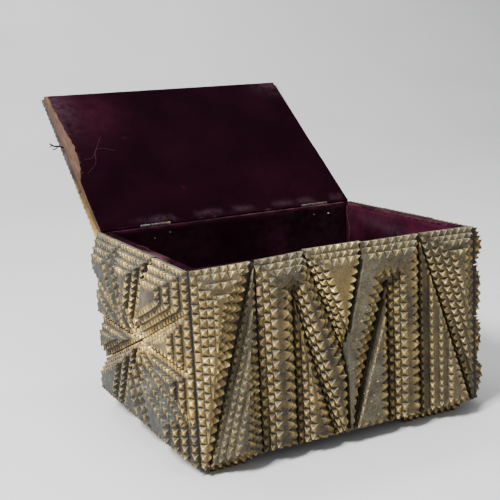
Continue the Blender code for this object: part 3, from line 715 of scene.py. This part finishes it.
# ---- back --------------------------------------------------------------------------
BACK_TOP = 131.0
B0, B1, B2, B3, B4 = 1.0, 62.0, 125.0, 188.0, 249.0
back_pieces = [
    ("back_upright_1", [(B0 + 3, BOT), (B2 - 2, BOT), (B1 + 0.5, BACK_TOP - 4)]),
    ("back_upright_2", [(B2 + 2, BOT), (B4 - 3, BOT), (B3 - 0.5, BACK_TOP - 4)]),
    ("back_inverted_1", [(B0, BOT + 5), (B1 - 2.5, BACK_TOP), (B0, BACK_TOP)]),
    ("back_inverted_2", [(B2, BOT + 4), (B3 - 3.5, BACK_TOP), (B1 + 3.5, BACK_TOP)]),
    ("back_inverted_3", [(B4, BOT + 5), (B4, BACK_TOP), (B3 + 2.5, BACK_TOP)]),
]
for i, (name, outline) in enumerate(back_pieces):
    stack(name, nested(outline, [6.0, 6.0, 6.0], 2), T_BACK, BACK, BRONZE, "box", "bronze_paint", 400 + i)

# ---- lid ---------------------------------------------------------------------------
LW, LL = LID_RIGHT - LID_LEFT + 2 * BORDER_OVER, hy - LID_FRONT + BORDER_FRONT


SKEW_LEFT, SKEW_RIGHT = 2.4, 2.6


def lid_border():
    """Four notched strips, mitred at the corners, as one frame."""
    rnd = random.Random(500)
    B = Mesh("carved_lid_border")
    F = FRAME_W
    strips = [
        [(SKEW_LEFT, 0), (LW + SKEW_RIGHT, 0), (LW - F, F), (F, F)],
        [(LW + SKEW_RIGHT, 0), (LW, LL), (LW - F, LL - F), (LW - F, F)],
        [(LW, LL), (0, LL), (F, LL - F), (LW - F, LL - F)],
        [(0, LL), (SKEW_LEFT, 0), (F, F), (F, LL - F)],
    ]
    for s in strips:
        slab(B, s, 0.1, T_LID, rnd, cuts_in=[4.6, 0, 4.6, 0], tone=rnd.uniform(0.35, 0.65))
    # underneath, the paint is made brighter towards the hinges and darker and
    # greyer towards the front edge; the upper face is evenly grey
    B.a = [(min(1.0, a[0] + 0.4 * (v[1] / LL) ** 2), a[1], a[2] - 1.3 + 2.1 * v[1] / LL,
            -1.0 if v[1] > 0.6 * LL else 0.9 - 1.4 * v[1] / LL) if v[2] < 0.5 * T_LID else a[:3] + (0.35,)
           for a, v in zip(B.a, B.v)]
    return B.make(LID_OUT, BRONZE_END, "lid", ("lid_border",), "bronze_paint_warm")


lid_border()
f = FRAME_W + 0.8
mx, my = LW / 2, LL / 2
d = 1.2
lid_tri = {
    "lid_triangle_front": [(f + 2 * d, f), (LW - f - 2 * d, f), (mx, my - d)],
    "lid_triangle_back": [(LW - f - 2 * d, LL - f), (f + 2 * d, LL - f), (mx, my + d)],
    "lid_triangle_left": [(f, f + 2 * d), (mx - 1.6 * d, my), (f, LL - f - 2 * d)],
    "lid_triangle_right": [(LW - f, LL - f - 2 * d), (mx + 1.6 * d, my), (LW - f, f + 2 * d)],
}
for i, (name, outline) in enumerate(lid_tri.items()):
    stack(name, nested(outline, [6, 6, 6], 2), T_LID, LID_OUT, BRONZE, "lid", "bronze_paint", 510 + i)

# ---- feet ----------------------------------------------------------------------------
feet = {
    "foot_front_left": ((-hx + 4, -hy + 2), (-hx + 42, -hy + 30)),
    "foot_front_right": ((hx - 70, -hy + 2), (hx - 13, -hy + 30)),
    "foot_back_left": ((-hx + 1, hy - 28), (-hx + 41, hy + 6)),
    "foot_back_right": ((hx - 41, hy - 28), (hx - 1, hy + 6)),
}
# built upside down: the wide layer is against the box
for i, (name, (a, b)) in enumerate(feet.items()):
    rnd = random.Random(600 + i)
    B = Mesh("carved_" + name)
    m = BOX @ Matrix.Translation((0, 0, FOOT_H - GAP)) @ Matrix.Rotation(math.pi, 4, "X")
    r = lambda s: [(a[0] + s, -b[1] + s), (b[0] - s, -b[1] + s), (b[0] - s, -a[1] - s), (a[0] + s, -a[1] - s)]
    half = (FOOT_H - GAP) / 2
    # the feet get a higher tone and more wear than the carving above: painted light on feet that stand in the box's
    # shadow
    slab(B, r(0), 0.0, half, rnd, tone=0.9, worn=1.1)
    slab(B, r(3.5), half - 0.03, 2 * half, rnd, tone=0.8, worn=1.0)
    B.make(m, BRONZE, "box", (name,), "bronze_paint")


# ---- velvet lining --------------------------------------------------------------------
def ring_points(inset_mm, radius, per_long, per_short, per_corner):
    """Rounded rectangle, anticlockwise from the front left corner, with the
    share of the way round and the outward direction at each point."""
    ax, ay = hx - inset_mm, hy - inset_mm
    r = max(0.05, min(radius, ax - 0.1, ay - 0.1))
    out = []
    sides = [((-ax + r, -ay), (ax - r, -ay), per_long, (0, -1)), ((ax, -ay + r), (ax, ay - r), per_short, (1, 0)),
             ((ax - r, ay), (-ax + r, ay), per_long, (0, 1)), ((-ax, ay - r), (-ax, -ay + r), per_short, (-1, 0))]
    corners = [((ax - r, -ay + r), -90), ((ax - r, ay - r), 0), ((-ax + r, ay - r), 90), ((-ax + r, -ay + r), 180)]
    for s in range(4):
        (x0, y0), (x1, y1), cnt, nrm = sides[s]
        for j in range(cnt):
            t = j / cnt
            out.append((x0 + (x1 - x0) * t, y0 + (y1 - y0) * t, nrm[0], nrm[1], s))
        (cx, cy), a0 = corners[s]
        for j in range(per_corner):
            a = math.radians(a0 + 90 * j / per_corner)
            out.append((cx + r * math.cos(a), cy + r * math.sin(a), math.cos(a), math.sin(a), s + 0.5))
    return out


def add_tube(B, points, radius, sides=6, vals=(0.9,)):
    """A thread along points, closed at both ends."""
    rings = []
    pts = [Vector(p) for p in points]
    for i, p in enumerate(pts):
        tan = (pts[min(i + 1, len(pts) - 1)] - pts[max(i - 1, 0)]).normalized()
        u = tan.cross(Vector((0.3, 0.1, 1.0))).normalized()
        w = tan.cross(u)
        r = radius * (0.35 if i in (0, len(pts) - 1) else 1.0)
        rings.append([B.p(tuple(p + (u * math.cos(2 * math.pi * s / sides) + w * math.sin(2 * math.pi * s / sides)) * r), *vals) for s in range(sides)])
    for a, b in zip(rings, rings[1:]):
        for s in range(sides):
            B.f.append((a[s], a[(s + 1) % sides], b[(s + 1) % sides], b[s]))
    B.f.append(tuple(reversed(rings[0])))
    B.f.append(tuple(rings[-1]))


def smooth_path(points, steps=6):
    """Catmull-Rom through points."""
    pts = [Vector(p) for p in points]
    pts = [2 * pts[0] - pts[1]] + pts + [2 * pts[-1] - pts[-2]]
    out = []
    for i in range(1, len(pts) - 2):
        p0, p1, p2, p3 = pts[i - 1:i + 3]
        for s in range(steps):
            t = s / steps
            out.append(0.5 * ((2 * p1) + (p2 - p0) * t + (2 * p0 - 5 * p1 + 4 * p2 - p3) * t * t + (3 * p1 - p0 - 3 * p2 + p3) * t ** 3))
    out.append(pts[-2])
    return [tuple(p) for p in out]


def lining():
    B = Mesh("velvet_lining_cloth", ("rub", "nap", "bald_and_sheen"))
    prof = [(0.8, RIM_Z + 0.1), (0.8, RIM_Z + 0.5), (1.15, RIM_Z + 0.85), (2.2, RIM_Z + 1.05), (3.6, RIM_Z + 1.1),
            (5.2, RIM_Z + 1.0), (6.6, RIM_Z + 0.7), (7.7, RIM_Z + 0.1), (8.25, RIM_Z - 1.4)]
    z = RIM_Z - 4.0
    while z > 22:
        prof.append((8.35, z))
        z -= 4.2
    prof += [(8.4, 19.0), (9.0, 16.8), (10.4, 15.6), (12.6, 15.4)]
    a = 17.0
    while a < hy - 4:
        prof.append((a, 15.4))
        a += 6.5
    prof.append((hy - 1.2, 15.4))
    rings = []
    for k, (ins, zz) in enumerate(prof):
        rad = 3.0 if ins < 8.2 else (1.6 if ins < 12 else 1.2)
        row = []
        for x, y, nx, ny, s in ring_points(ins, rad, 84, 64, 5):
            wall = 8.2 < ins < 8.6
            n1 = noise.noise(Vector((x * 0.03, y * 0.03, zz * 0.035)) + Vector((3, 1, 7)))
            n2 = noise.noise(Vector((x * 0.11, y * 0.11, zz * 0.07)) + Vector((9, 4, 2)))
            push = 0.0
            up_, rub, nap, bald_and_sheen = 0.0, 0.0, 0.0, 0.0
            if wall:
                push = 0.35 + 0.45 * n1 + 0.22 * n2
                depth = (RIM_Z - zz) / 40.0
                if abs(s - 1) < 0.3:      # right end wall: loose velvet with upright folds
                    fold = math.sin(y * 0.13 + 1.6 * n1 + zz * 0.050) * 0.35 + math.sin(y * 0.052 + 2.0 + zz * 0.065) * 0.65
                    push += 0.75 + 0.75 * fold * min(1.0, depth + 0.35)
                    # these lines paint light on the right end wall: crimson, brighter towards its top and with the
                    # folds, and a pale sheen in a band near the top and in a strip towards the back
                    nap = min(1.0, max(0.0, 1.25 - depth * 1.1)) * (0.75 + 0.9 * n1 + 0.25 * fold)
                    bald_and_sheen = 1.3 * math.exp(-((depth - 0.18 - 0.0025 * (70 - y)) / 0.12) ** 2) * math.exp(-((y - 5) / 52.0) ** 2)
                    bald_and_sheen += 0.5 * math.exp(-((y - 84) / 7.0) ** 2) * max(0.0, 0.6 + n2)
                elif abs(s - 2) < 0.3:
                    nap = 0.10 * max(0.0, n1) + 0.5 * math.exp(-((x - 42) / 9.0) ** 2 - ((zz - 118) / 22.0) ** 2)
                    bald_and_sheen = 0.10 + 0.10 * n1 + 0.14 * max(0.0, x / 110.0)
                rub = max(0.0, 0.22 - depth * 0.6) + 0.12 * n2
            elif ins <= 8.25:
                up_ = 0.10 * n2 + 0.08 * n1
                rub = 0.26 + 0.45 * n1 + (0.2 if ins < 2 else 0.0) + (0.10 if s > 2.6 else 0.25 if 0.9 < s < 1.1 else 0.0)
                nap = 0.12 + 0.3 * n2
                if abs(s - 2) < 0.3 and ins < 6:
                    rub += 0.30 + 0.4 * n2
                    bald_and_sheen = 0.5
            else:
                up_ = 0.5 + 0.5 * n1 + 0.2 * n2
                rub = 0.15 + 0.3 * n1
            row.append(B.p((x - nx * push, y - ny * push, zz + up_), rub, nap, bald_and_sheen))
        rings.append(row)
    n = len(rings[0])
    for r0, r1 in zip(rings, rings[1:]):
        for j in range(n):
            B.f.append((r0[j], r0[(j + 1) % n], r1[(j + 1) % n], r1[j]))
    B.f.append(tuple(rings[-1]))
    # underside of the turned-over edge, so that the cloth is a closed body
    under = [[B.p((x, y, z), 0.0) for x, y, nx, ny, s in ring_points(ins, 3.0, 84, 64, 5)]
             for ins, z in ((1.4, RIM_Z + 0.02), (6.7, RIM_Z + 0.02), (7.5, RIM_Z - 2.0), (7.5, 14.9))]
    chain = [rings[0]] + under
    for r0, r1 in zip(chain, chain[1:]):
        for j in range(n):
            B.f.append((r0[j], r1[j], r1[(j + 1) % n], r0[(j + 1) % n]))
    B.f.append(tuple(reversed(under[-1])))
    return B


def threads(B, runs):
    """Loose ends of the cloth's own weave, caught on its pile."""
    for pts, r, *look in runs:
        add_tube(B, smooth_path(pts), r, 5, look[0] if look else (0.75, 0.2))


lining_mesh = lining()
wall_x, wall_y_in = hx - 9.6, hy - 9.2
threads(lining_mesh, [
    ([(wall_x - 1.6, 78.0, 153.2), (wall_x - 1.2, 80.5, 146.0), (wall_x - 0.9, 79.0, 138.0), (wall_x - 0.9, 76.5, 129.0), (wall_x - 1.0, 77.5, 121.0)], 0.28),
    ([(wall_x - 1.0, 70.0, 152.0), (wall_x - 0.8, 73.5, 147.5), (wall_x - 0.9, 78.5, 143.0)], 0.22),
    ([(-hx + 4.0, 20.0, 154.4), (-hx + 6.5, 6.0, 154.45), (-hx + 4.5, -9.0, 154.4)], 0.18),
    ([(-hx + 3.0, -30.0, 154.4), (-hx + 5.8, -44.0, 154.45), (-hx + 3.6, -52.0, 154.4)], 0.16),
])
lining_mesh.make(BOX, VELVET, "box", ("velvet_lining",), "velvet", smooth=True)


def between(x, table):
    """Straight lines through (place, value) pairs."""
    for (a, va), (b, vb) in zip(table, table[1:]):
        if x <= b:
            return va + (vb - va) * max(0.0, (x - a) / (b - a))
    return table[-1][1]


def lid_lining():
    """Velvet glued to the inside of the lid and turned over its back edge.
    Its left side has torn back from the wood."""
    B = Mesh("velvet_lid_cloth", ("rub", "nap", "bald_and_sheen"))
    x1 = LID_RIGHT - 1.0
    y0, y1 = LID_FRONT + 1.2, hy - 0.8
    nx_, ny_ = 120, 92
    torn = [(0.0, 3.6), (0.10, 4.2), (0.24, 6.2), (0.40, 8.6), (0.52, 7.4), (0.60, 4.2), (0.66, 0.9), (0.8, 0.3), (1.0, 0.3)]
    edge_z = LID_Z - GAP - 0.05
    turn = [(hy - 0.25, edge_z - 0.55, -0.02), (hy + 0.10, edge_z - 0.1, 0.05), (hy + 0.25, LID_Z + 0.5, 0.5),
            (hy + 0.27, LID_Z + 2.2, 2.2), (hy + 0.27, LID_Z + 3.8, 3.8), (hy + 0.24, LID_Z + 5.2, 5.2)]
    top, bot = [], []
    for j in range(ny_ + 1 + len(turn)):
        v = min(1.0, j / ny_)
        rt, rb = [], []
        jag = noise.noise(Vector((v * 31.0, 2.0, 0.0))) * 1.3 + noise.noise(Vector((v * 90.0, 4.0, 0.0))) * 0.6
        x0 = LID_LEFT + between(v, torn) + jag * min(1.0, max(0.1, (0.66 - v) * 12.0))
        for i in range(nx_ + 1):
            u = (i / nx_) ** 1.15
            x = x0 + (x1 - x0) * u
            n2 = noise.noise(Vector((x * 0.09, v * 17.0, 8.0)))
            if j <= ny_:
                y = y0 + (y1 - y0) * v
                edge = min(x - x0, x1 - x, y - y0)
                lift = 1.0 - math.exp(-edge / 0.8)
                n1 = noise.noise(Vector((x * 0.025, y * 0.025, 5.0)))
                curl = 0.2 * math.exp(-(x - x0) / 3.0) * max(0.0, n2 + 0.25) * min(1.0, (x - x0) + 0.3)
                zz = edge_z - 0.74 * lift * (1.0 + 0.10 * n1 + 0.06 * n2) - curl
                rub = 0.04 + 0.08 * n1
                rub += 0.50 * math.exp(-(x - x0) / 3.0) * (0.6 + 0.8 * n2)
                worn_band = min(1.0, max(0.0, (x + 100) / 30.0))
                rub += 0.6 * math.exp(-(y1 - y) / 3.0) * (0.30 + 1.2 * n2) * (0.3 + 0.7 * worn_band)
                nap = 0.03 + 0.06 * n1 + 0.42 * math.exp(-((x + 90) / 24.0) ** 2 - ((y + 62) / 36.0) ** 2)
                nap += 0.10 * math.exp(-((x - 70) / 40.0) ** 2 - ((y - 60) / 30.0) ** 2)
                for px, py in ((-66.0, -20.0), (-32.0, 55.0)):
                    nap += 0.30 * math.exp(-((x - px) / 2.0) ** 2 - ((y - py) / 1.8) ** 2)
                bald_and_sheen = 1.1 * math.exp(-((x - x0) / 17.0) ** 2 - ((y + 75) / 36.0) ** 2)
                bald_and_sheen += 1.0 * math.exp(-((x - x1) / 24.0) ** 2 - ((y - y0) / 17.0) ** 2)
                patch = noise.noise(Vector((x * 0.042, y * 0.03, 21.0))) + 0.35 * n2
                bald_and_sheen += 0.62 * math.exp(-((y1 - y - 5.0) / 3.8) ** 2) * worn_band * min(1.0, max(0.0, (patch + 0.24) * 3.5))
                wave = 0.6 * n2 * math.exp(-edge / 2.0)
                rt.append(B.p((x + wave, y + wave * 0.5 * (1 - v), zz), rub, nap, bald_and_sheen))
                rb.append(B.p((x, y, LID_Z - 0.02), 0.0))
            else:
                yy, zz, under = turn[j - ny_ - 1]
                more = 0.35 * n2 if j == ny_ + len(turn) else 0.0
                rub = 0.30 + 0.9 * n2
                rt.append(B.p((x, yy, zz + more), rub, 0.35))
                rb.append(B.p((x, hy + (0.03 if under > 0 else -0.3), LID_Z + under + more), 0.0))
        top.append(rt)
        bot.append(rb)
    rows = len(top) - 1
    for j in range(rows):
        for i in range(nx_):
            B.f.append((top[j][i], top[j + 1][i], top[j + 1][i + 1], top[j][i + 1]))
            B.f.append((bot[j][i], bot[j][i + 1], bot[j + 1][i + 1], bot[j + 1][i]))
    for i in range(nx_):
        B.f.append((top[0][i], top[0][i + 1], bot[0][i + 1], bot[0][i]))
        B.f.append((top[rows][i + 1], top[rows][i], bot[rows][i], bot[rows][i + 1]))
    for j in range(rows):
        B.f.append((top[j + 1][0], top[j][0], bot[j][0], bot[j + 1][0]))
        B.f.append((top[j][nx_], top[j + 1][nx_], bot[j + 1][nx_], bot[j][nx_]))
    return B


lid_mesh = lid_lining()
lid_face = LID_Z - GAP - 1.15
rnd_t = random.Random(71)
runs = [
    ([(-115.5, 24.0, lid_face + 0.1), (-104.0, 12.0, lid_face + 0.05), (-99.0, -6.0, lid_face + 0.1), (-90.0, -7.5, lid_face + 0.1), (-80.0, -3.0, lid_face + 0.2)], 0.15),
    # a frayed end of the backing cloth sticks out at the left edge
    ([(-126.4, -14.0, LID_Z - 0.4), (-131.0, -17.5, LID_Z), (-134.5, -18.5, LID_Z + 0.6), (-138.0, -22.5, LID_Z + 0.3)], 0.75, (0.0, 0.0)),
    ([(-131.0, -17.5, LID_Z), (-134.0, -15.0, LID_Z + 0.8), (-137.0, -15.5, LID_Z + 1.0)], 0.55, (0.0, 0.0)),
    ([(-131.5, -17.5, LID_Z + 0.4), (-136.0, -19.0, LID_Z + 0.2), (-139.0, -18.0, LID_Z + 0.6)], 0.40, (0.0, 0.0)),
    ([(-125.6, -84.0, LID_Z - 0.3), (-129.0, -86.0, LID_Z + 0.4), (-131.5, -83.0, LID_Z + 0.8)], 0.16),
    ([(-125.6, -79.0, LID_Z - 0.3), (-129.5, -78.0, LID_Z + 0.6), (-131.0, -73.0, LID_Z + 0.8)], 0.14),
    ([(121.0, -88.0, lid_face), (128.0, -90.0, LID_Z), (132.5, -86.5, LID_Z + 0.5)], 0.16),
    ([(124.0, -81.0, lid_face), (129.5, -83.0, LID_Z), (133.5, -77.0, LID_Z + 0.6)], 0.14),
    ([(-113.0, 5.0, lid_face + 0.1), (-104.0, 3.0, lid_face + 0.05), (-93.0, -16.0, lid_face + 0.1), (-88.0, -25.0, lid_face + 0.2)], 0.15),
]
for i in range(26):
    # short hairs along the torn side
    v = rnd_t.uniform(0.02, 0.62)
    y = LID_FRONT + 1.2 + (hy - 0.8 - LID_FRONT - 1.2) * v
    x = LID_LEFT + between(v, [(0.0, 3.8), (0.24, 6.0), (0.40, 8.6), (0.52, 7.4), (0.62, 3.6)]) + rnd_t.uniform(-0.4, 1.2)
    l, sw = rnd_t.uniform(2.0, 5.5), rnd_t.uniform(-2.5, 2.5)
    runs.append(([(x + l * 0.6, y, lid_face + 0.2), (x, y + sw * 0.5, lid_face + 0.1), (x - l * 0.5, y + sw, lid_face + 0.4)], rnd_t.uniform(0.08, 0.14)))
threads(lid_mesh, runs)
lid_mesh.make(LID, VELVET, "lid", ("lid_velvet",), "velvet", smooth=True)


# ---- boards -----------------------------------------------------------------------------
def wood_board(name, lo, hi, matrix, mat, body, bevel=0.5, cells=(40, 30, 3)):
    """A board with softened, slightly uneven edges."""
    import bmesh
    bm = bmesh.new()
    size = [b - a for a, b in zip(lo, hi)]
    mid = [(a + b) / 2 for a, b in zip(lo, hi)]
    bmesh.ops.create_cube(bm, size=1.0, matrix=Matrix.Translation(mid) @ Matrix.Diagonal((*size, 1.0)))
    for axis, cnt in enumerate(cells):
        for c in range(1, cnt):
            at = lo[axis] + size[axis] * c / cnt
            co, no = [0, 0, 0], [0, 0, 0]
            co[axis], no[axis] = at, 1
            bmesh.ops.bisect_plane(bm, geom=bm.verts[:] + bm.edges[:] + bm.faces[:], plane_co=co, plane_no=no)
    sharp = [e for e in bm.edges if len(e.link_faces) == 2 and e.calc_face_angle(0) > 0.5]
    bmesh.ops.bevel(bm, geom=sharp, offset=bevel, segments=2, affect="EDGES", clamp_overlap=True)
    for v in bm.verts:
        n = noise.noise_vector(v.co * 0.12)
        v.co -= Vector([abs(n[i]) * 0.22 * (1 if v.co[i] > mid[i] else -1) for i in range(3)])
    me = bpy.data.meshes.new("wood_" + name)
    bm.to_mesh(me)
    bm.free()
    me.transform(matrix)
    ob = bpy.data.objects.new("wood_" + name, me)
    bpy.context.scene.collection.objects.link(ob)
    me.materials.append(mat)
    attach(ob, body)
    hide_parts(name)
    return ob


wz = FOOT_H + BASE + GAP
side_y = hy - WALL - GAP
wood_board("carcass_bottom", (-hx, -hy, FOOT_H), (hx, hy, FOOT_H + BASE), BOX, BOARD, "box")
wood_board("carcass_front", (-hx, -hy, wz), (hx, -hy + WALL, RIM_Z), BOX, BOARD, "box", cells=(40, 3, 20))
wood_board("carcass_back", (-hx, hy - WALL, wz), (hx, hy, RIM_Z), BOX, BOARD, "box", cells=(40, 3, 20))
wood_board("carcass_left", (-hx, -side_y, wz), (-hx + WALL, side_y, RIM_Z), BOX, BOARD, "box", cells=(3, 40, 20))
wood_board("carcass_right", (hx - WALL, -side_y, wz), (hx, side_y, RIM_Z), BOX, BOARD, "box", cells=(3, 40, 20))
wood_board("lid_board", (LID_LEFT, LID_FRONT, LID_Z), (LID_RIGHT, hy, LID_Z + LID_T), LID, BOARD_Y, "lid", bevel=0.7, cells=(40, 34, 4))


# ---- hinges ------------------------------------------------------------------------------
def hinge_piece(name, body, parts_, node):
    import bmesh
    bm = bmesh.new()
    for kind, args in parts_:
        tmp = bmesh.new()
        if kind == "plate":
            lo, hi = args
            bmesh.ops.create_cube(tmp, size=1.0, matrix=Matrix.Translation([(a + b) / 2 for a, b in zip(lo, hi)])
                                  @ Matrix.Diagonal((*[b - a for a, b in zip(lo, hi)], 1.0)))
            bmesh.ops.bevel(tmp, geom=tmp.edges[:], offset=0.16, segments=2, affect="EDGES")
        else:
            x0, x1, r, y, z, axis = args
            rot = {"X": Matrix.Rotation(UP, 4, "Y"), "Y": Matrix.Rotation(-UP, 4, "X")}[axis]
            at = {"X": ((x0 + x1) / 2, y, z), "Y": (y, (x0 + x1) / 2, z)}[axis]
            bmesh.ops.create_cone(tmp, cap_ends=True, segments=24, radius1=r, radius2=r * (0.72 if kind == "head" else 1.0),
                                  depth=x1 - x0, matrix=Matrix.Translation(at) @ rot)
            caps = [e for e in tmp.edges if any(len(fc.verts) > 4 for fc in e.link_faces)]
            bmesh.ops.bevel(tmp, geom=caps, offset=0.13, segments=2, affect="EDGES")
        me = bpy.data.meshes.new("tmp")
        tmp.to_mesh(me)
        tmp.free()
        bm.from_mesh(me)
        bpy.data.meshes.remove(me)
    me = bpy.data.meshes.new(name)
    bm.to_mesh(me)
    bm.free()
    return me


third = HINGE_L / 3
wall_y = hy + GAP - AXIS_Y
for side, x in (("left", HINGE_X[0]), ("right", HINGE_X[1])):
    h = HINGE_L / 2
    fixed = [("plate", ((-h, wall_y, -11.5), (h, wall_y + 0.8, -1.75))),
             ("plate", ((-h, wall_y, -3.0), (-third / 2 - 0.2, wall_y + 0.8, -0.4))),
             ("plate", ((third / 2 + 0.2, wall_y, -3.0), (h, wall_y + 0.8, -0.4))),
             ("rod", (-h, -third / 2 - 0.15, BARREL_R, 0, 0, "X")), ("rod", (third / 2 + 0.15, h, BARREL_R, 0, 0, "X")),
             ("rod", (-h - 0.35, h + 0.35, 0.62, 0, 0, "X"))]
    for sx, sz in {"left": ((-5.5, -9.8), (9.4, -6.3)), "right": ((-6.9, -7.8), (9.2, -8.2))}[side]:
        fixed.append(("head", (wall_y + 0.7, wall_y + 1.25, 1.5, sx, max(sz, -9.2), "Y")))
        # the nail's point shows through the velvet inside
        fixed.append(("rod", (hy - WALL - 3.4 - AXIS_Y, hy - WALL - 0.4 - AXIS_Y, 0.55, sx, sz, "Y")))
    moving = [("plate", ((-third / 2 + 0.2, wall_y, 0.4), (third / 2 - 0.2, wall_y + 0.8, 3.0))),
              ("plate", ((-h, wall_y, 1.8), (h, wall_y + 0.8, LID_Z + LID_T - AXIS_Z))),
              ("rod", (-third / 2 + 0.2, third / 2 - 0.2, BARREL_R, 0, 0, "X"))]
    for sx in (-9.0, 9.0):
        moving.append(("head", (wall_y + 0.7, wall_y + 1.2, 1.5, sx, 4.6, "Y")))
    for kind, plist, body in (("fixed", fixed, "box"), ("moving", moving, "lid")):
        node = "hinge_%s_%s" % (side, kind)
        me = hinge_piece("metal_" + node, body, plist, node)
        bright = me.attributes.new("point", "FLOAT", "POINT")
        bright.data.foreach_set("value", [float(v.co.y < hy - 1.5 - AXIS_Y) for v in me.vertices])
        at = place(x, AXIS_Y, AXIS_Z)
        if body == "lid":
            at = at @ Matrix.Rotation(-OPEN, 4, "X")
        me.transform(at)
        ob = bpy.data.objects.new("metal_" + node, me)
        bpy.context.scene.collection.objects.link(ob)
        me.materials.append(STEEL)
        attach(ob, body)
        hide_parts(node)

# ---- camera --------------------------------------------------------------------------------
F_PX, CX, CY = 975.4935, 275.0, 252.0
ROT = Vector((1.7232, -0.4600, 0.3104))
SHIFT = Vector((-0.0601, 0.1753, 0.7903))
SCALE = 250.0 / 280.0
R = Matrix.Rotation(ROT.length, 3, ROT.normalized())
eye = -(R.transposed() @ SHIFT)
cam_data = bpy.data.cameras.new("camera")
cam = bpy.data.objects.new("camera", cam_data)
bpy.context.scene.collection.objects.link(cam)
cam_data.sensor_width = 36.0
cam_data.lens = F_PX / 500 * 36.0
cam_data.shift_x = (250 - CX) / 500
cam_data.shift_y = (CY - 250) / 500
cam_data.clip_start, cam_data.clip_end = 0.05, 20
pos = Vector((eye.x * SCALE - hx * MM, eye.y * SCALE - (hy + MIDDLE_Y) * MM, eye.z * SCALE + FOOT_H * MM))
axes = Matrix((R[0], -Vector(R[1]), -Vector(R[2]))).transposed()
cam.matrix_world = Matrix.Translation(pos) @ axes.to_4x4()
bpy.context.scene.camera = cam


# ---- floor and light ---------------------------------------------------------------------------
def floor():
    """A pale floor that sweeps up far behind."""
    me = bpy.data.meshes.new("floor")
    line = [(-30.0, 0.0), (-6.0, 0.0)] + [(1.2 + 1.6 * math.sin(math.radians(a)), 1.6 - 1.6 * math.cos(math.radians(a))) for a in range(0, 91, 6)] + [(2.8, 6.0)]
    across = [-30.0, -9.0, -3.0, 0.0, 3.0, 9.0, 30.0]
    pts = [(x, y, z) for y, z in line for x in across]
    w = len(across)
    me.from_pydata(pts, [], [(r * w + c, r * w + c + 1, (r + 1) * w + c + 1, (r + 1) * w + c)
                             for r in range(len(line) - 1) for c in range(w - 1)])
    me.polygons.foreach_set("use_smooth", [True] * len(me.polygons))
    ob = bpy.data.objects.new("floor", me)
    bpy.context.scene.collection.objects.link(ob)
    g = Nodes("pale_floor")
    col = g.ramp(g.noise(3, 3), (0.3, (0.61, 0.61, 0.61)), (0.7, (0.65, 0.65, 0.65)))
    g.put(g.p.inputs["Base Color"], col)
    g.p.inputs["Roughness"].default_value = 0.8
    me.materials.append(g.m)


floor()


def area(name, loc, target, size, watts, colour=(1, 1, 1)):
    ld = bpy.data.lights.new(name, "AREA")
    ld.shape = "RECTANGLE"
    ld.size, ld.size_y = size
    ld.energy = watts
    ld.color = colour
    ob = bpy.data.objects.new(name, ld)
    bpy.context.scene.collection.objects.link(ob)
    ob.location = loc
    ob.rotation_euler = (Vector(target) - Vector(loc)).to_track_quat("-Z", "Y").to_euler()
    return ob


area("key", (-1.2, -0.65, 1.45), (0, 0, 0.08), (0.42, 0.42), 92)
area("front_fill", (0.6, -1.6, 0.8), (0, 0, 0.08), (1.6, 1.2), 2.5)
area("top", (0.1, 0.2, 1.8), (0, 0, 0.1), (1.4, 1.4), 9)
area("backdrop", (0.2, 1.0, 2.6), (0.0, 2.6, 0.7), (2.4, 1.0), 70)
w = bpy.data.worlds.new("studio")
w.use_nodes = True
w.node_tree.nodes["Background"].inputs[0].default_value = (0.95, 0.97, 1.0, 1.0)
w.node_tree.nodes["Background"].inputs[1].default_value = 0.42
bpy.context.scene.world = w

bpy.context.view_layer.update()
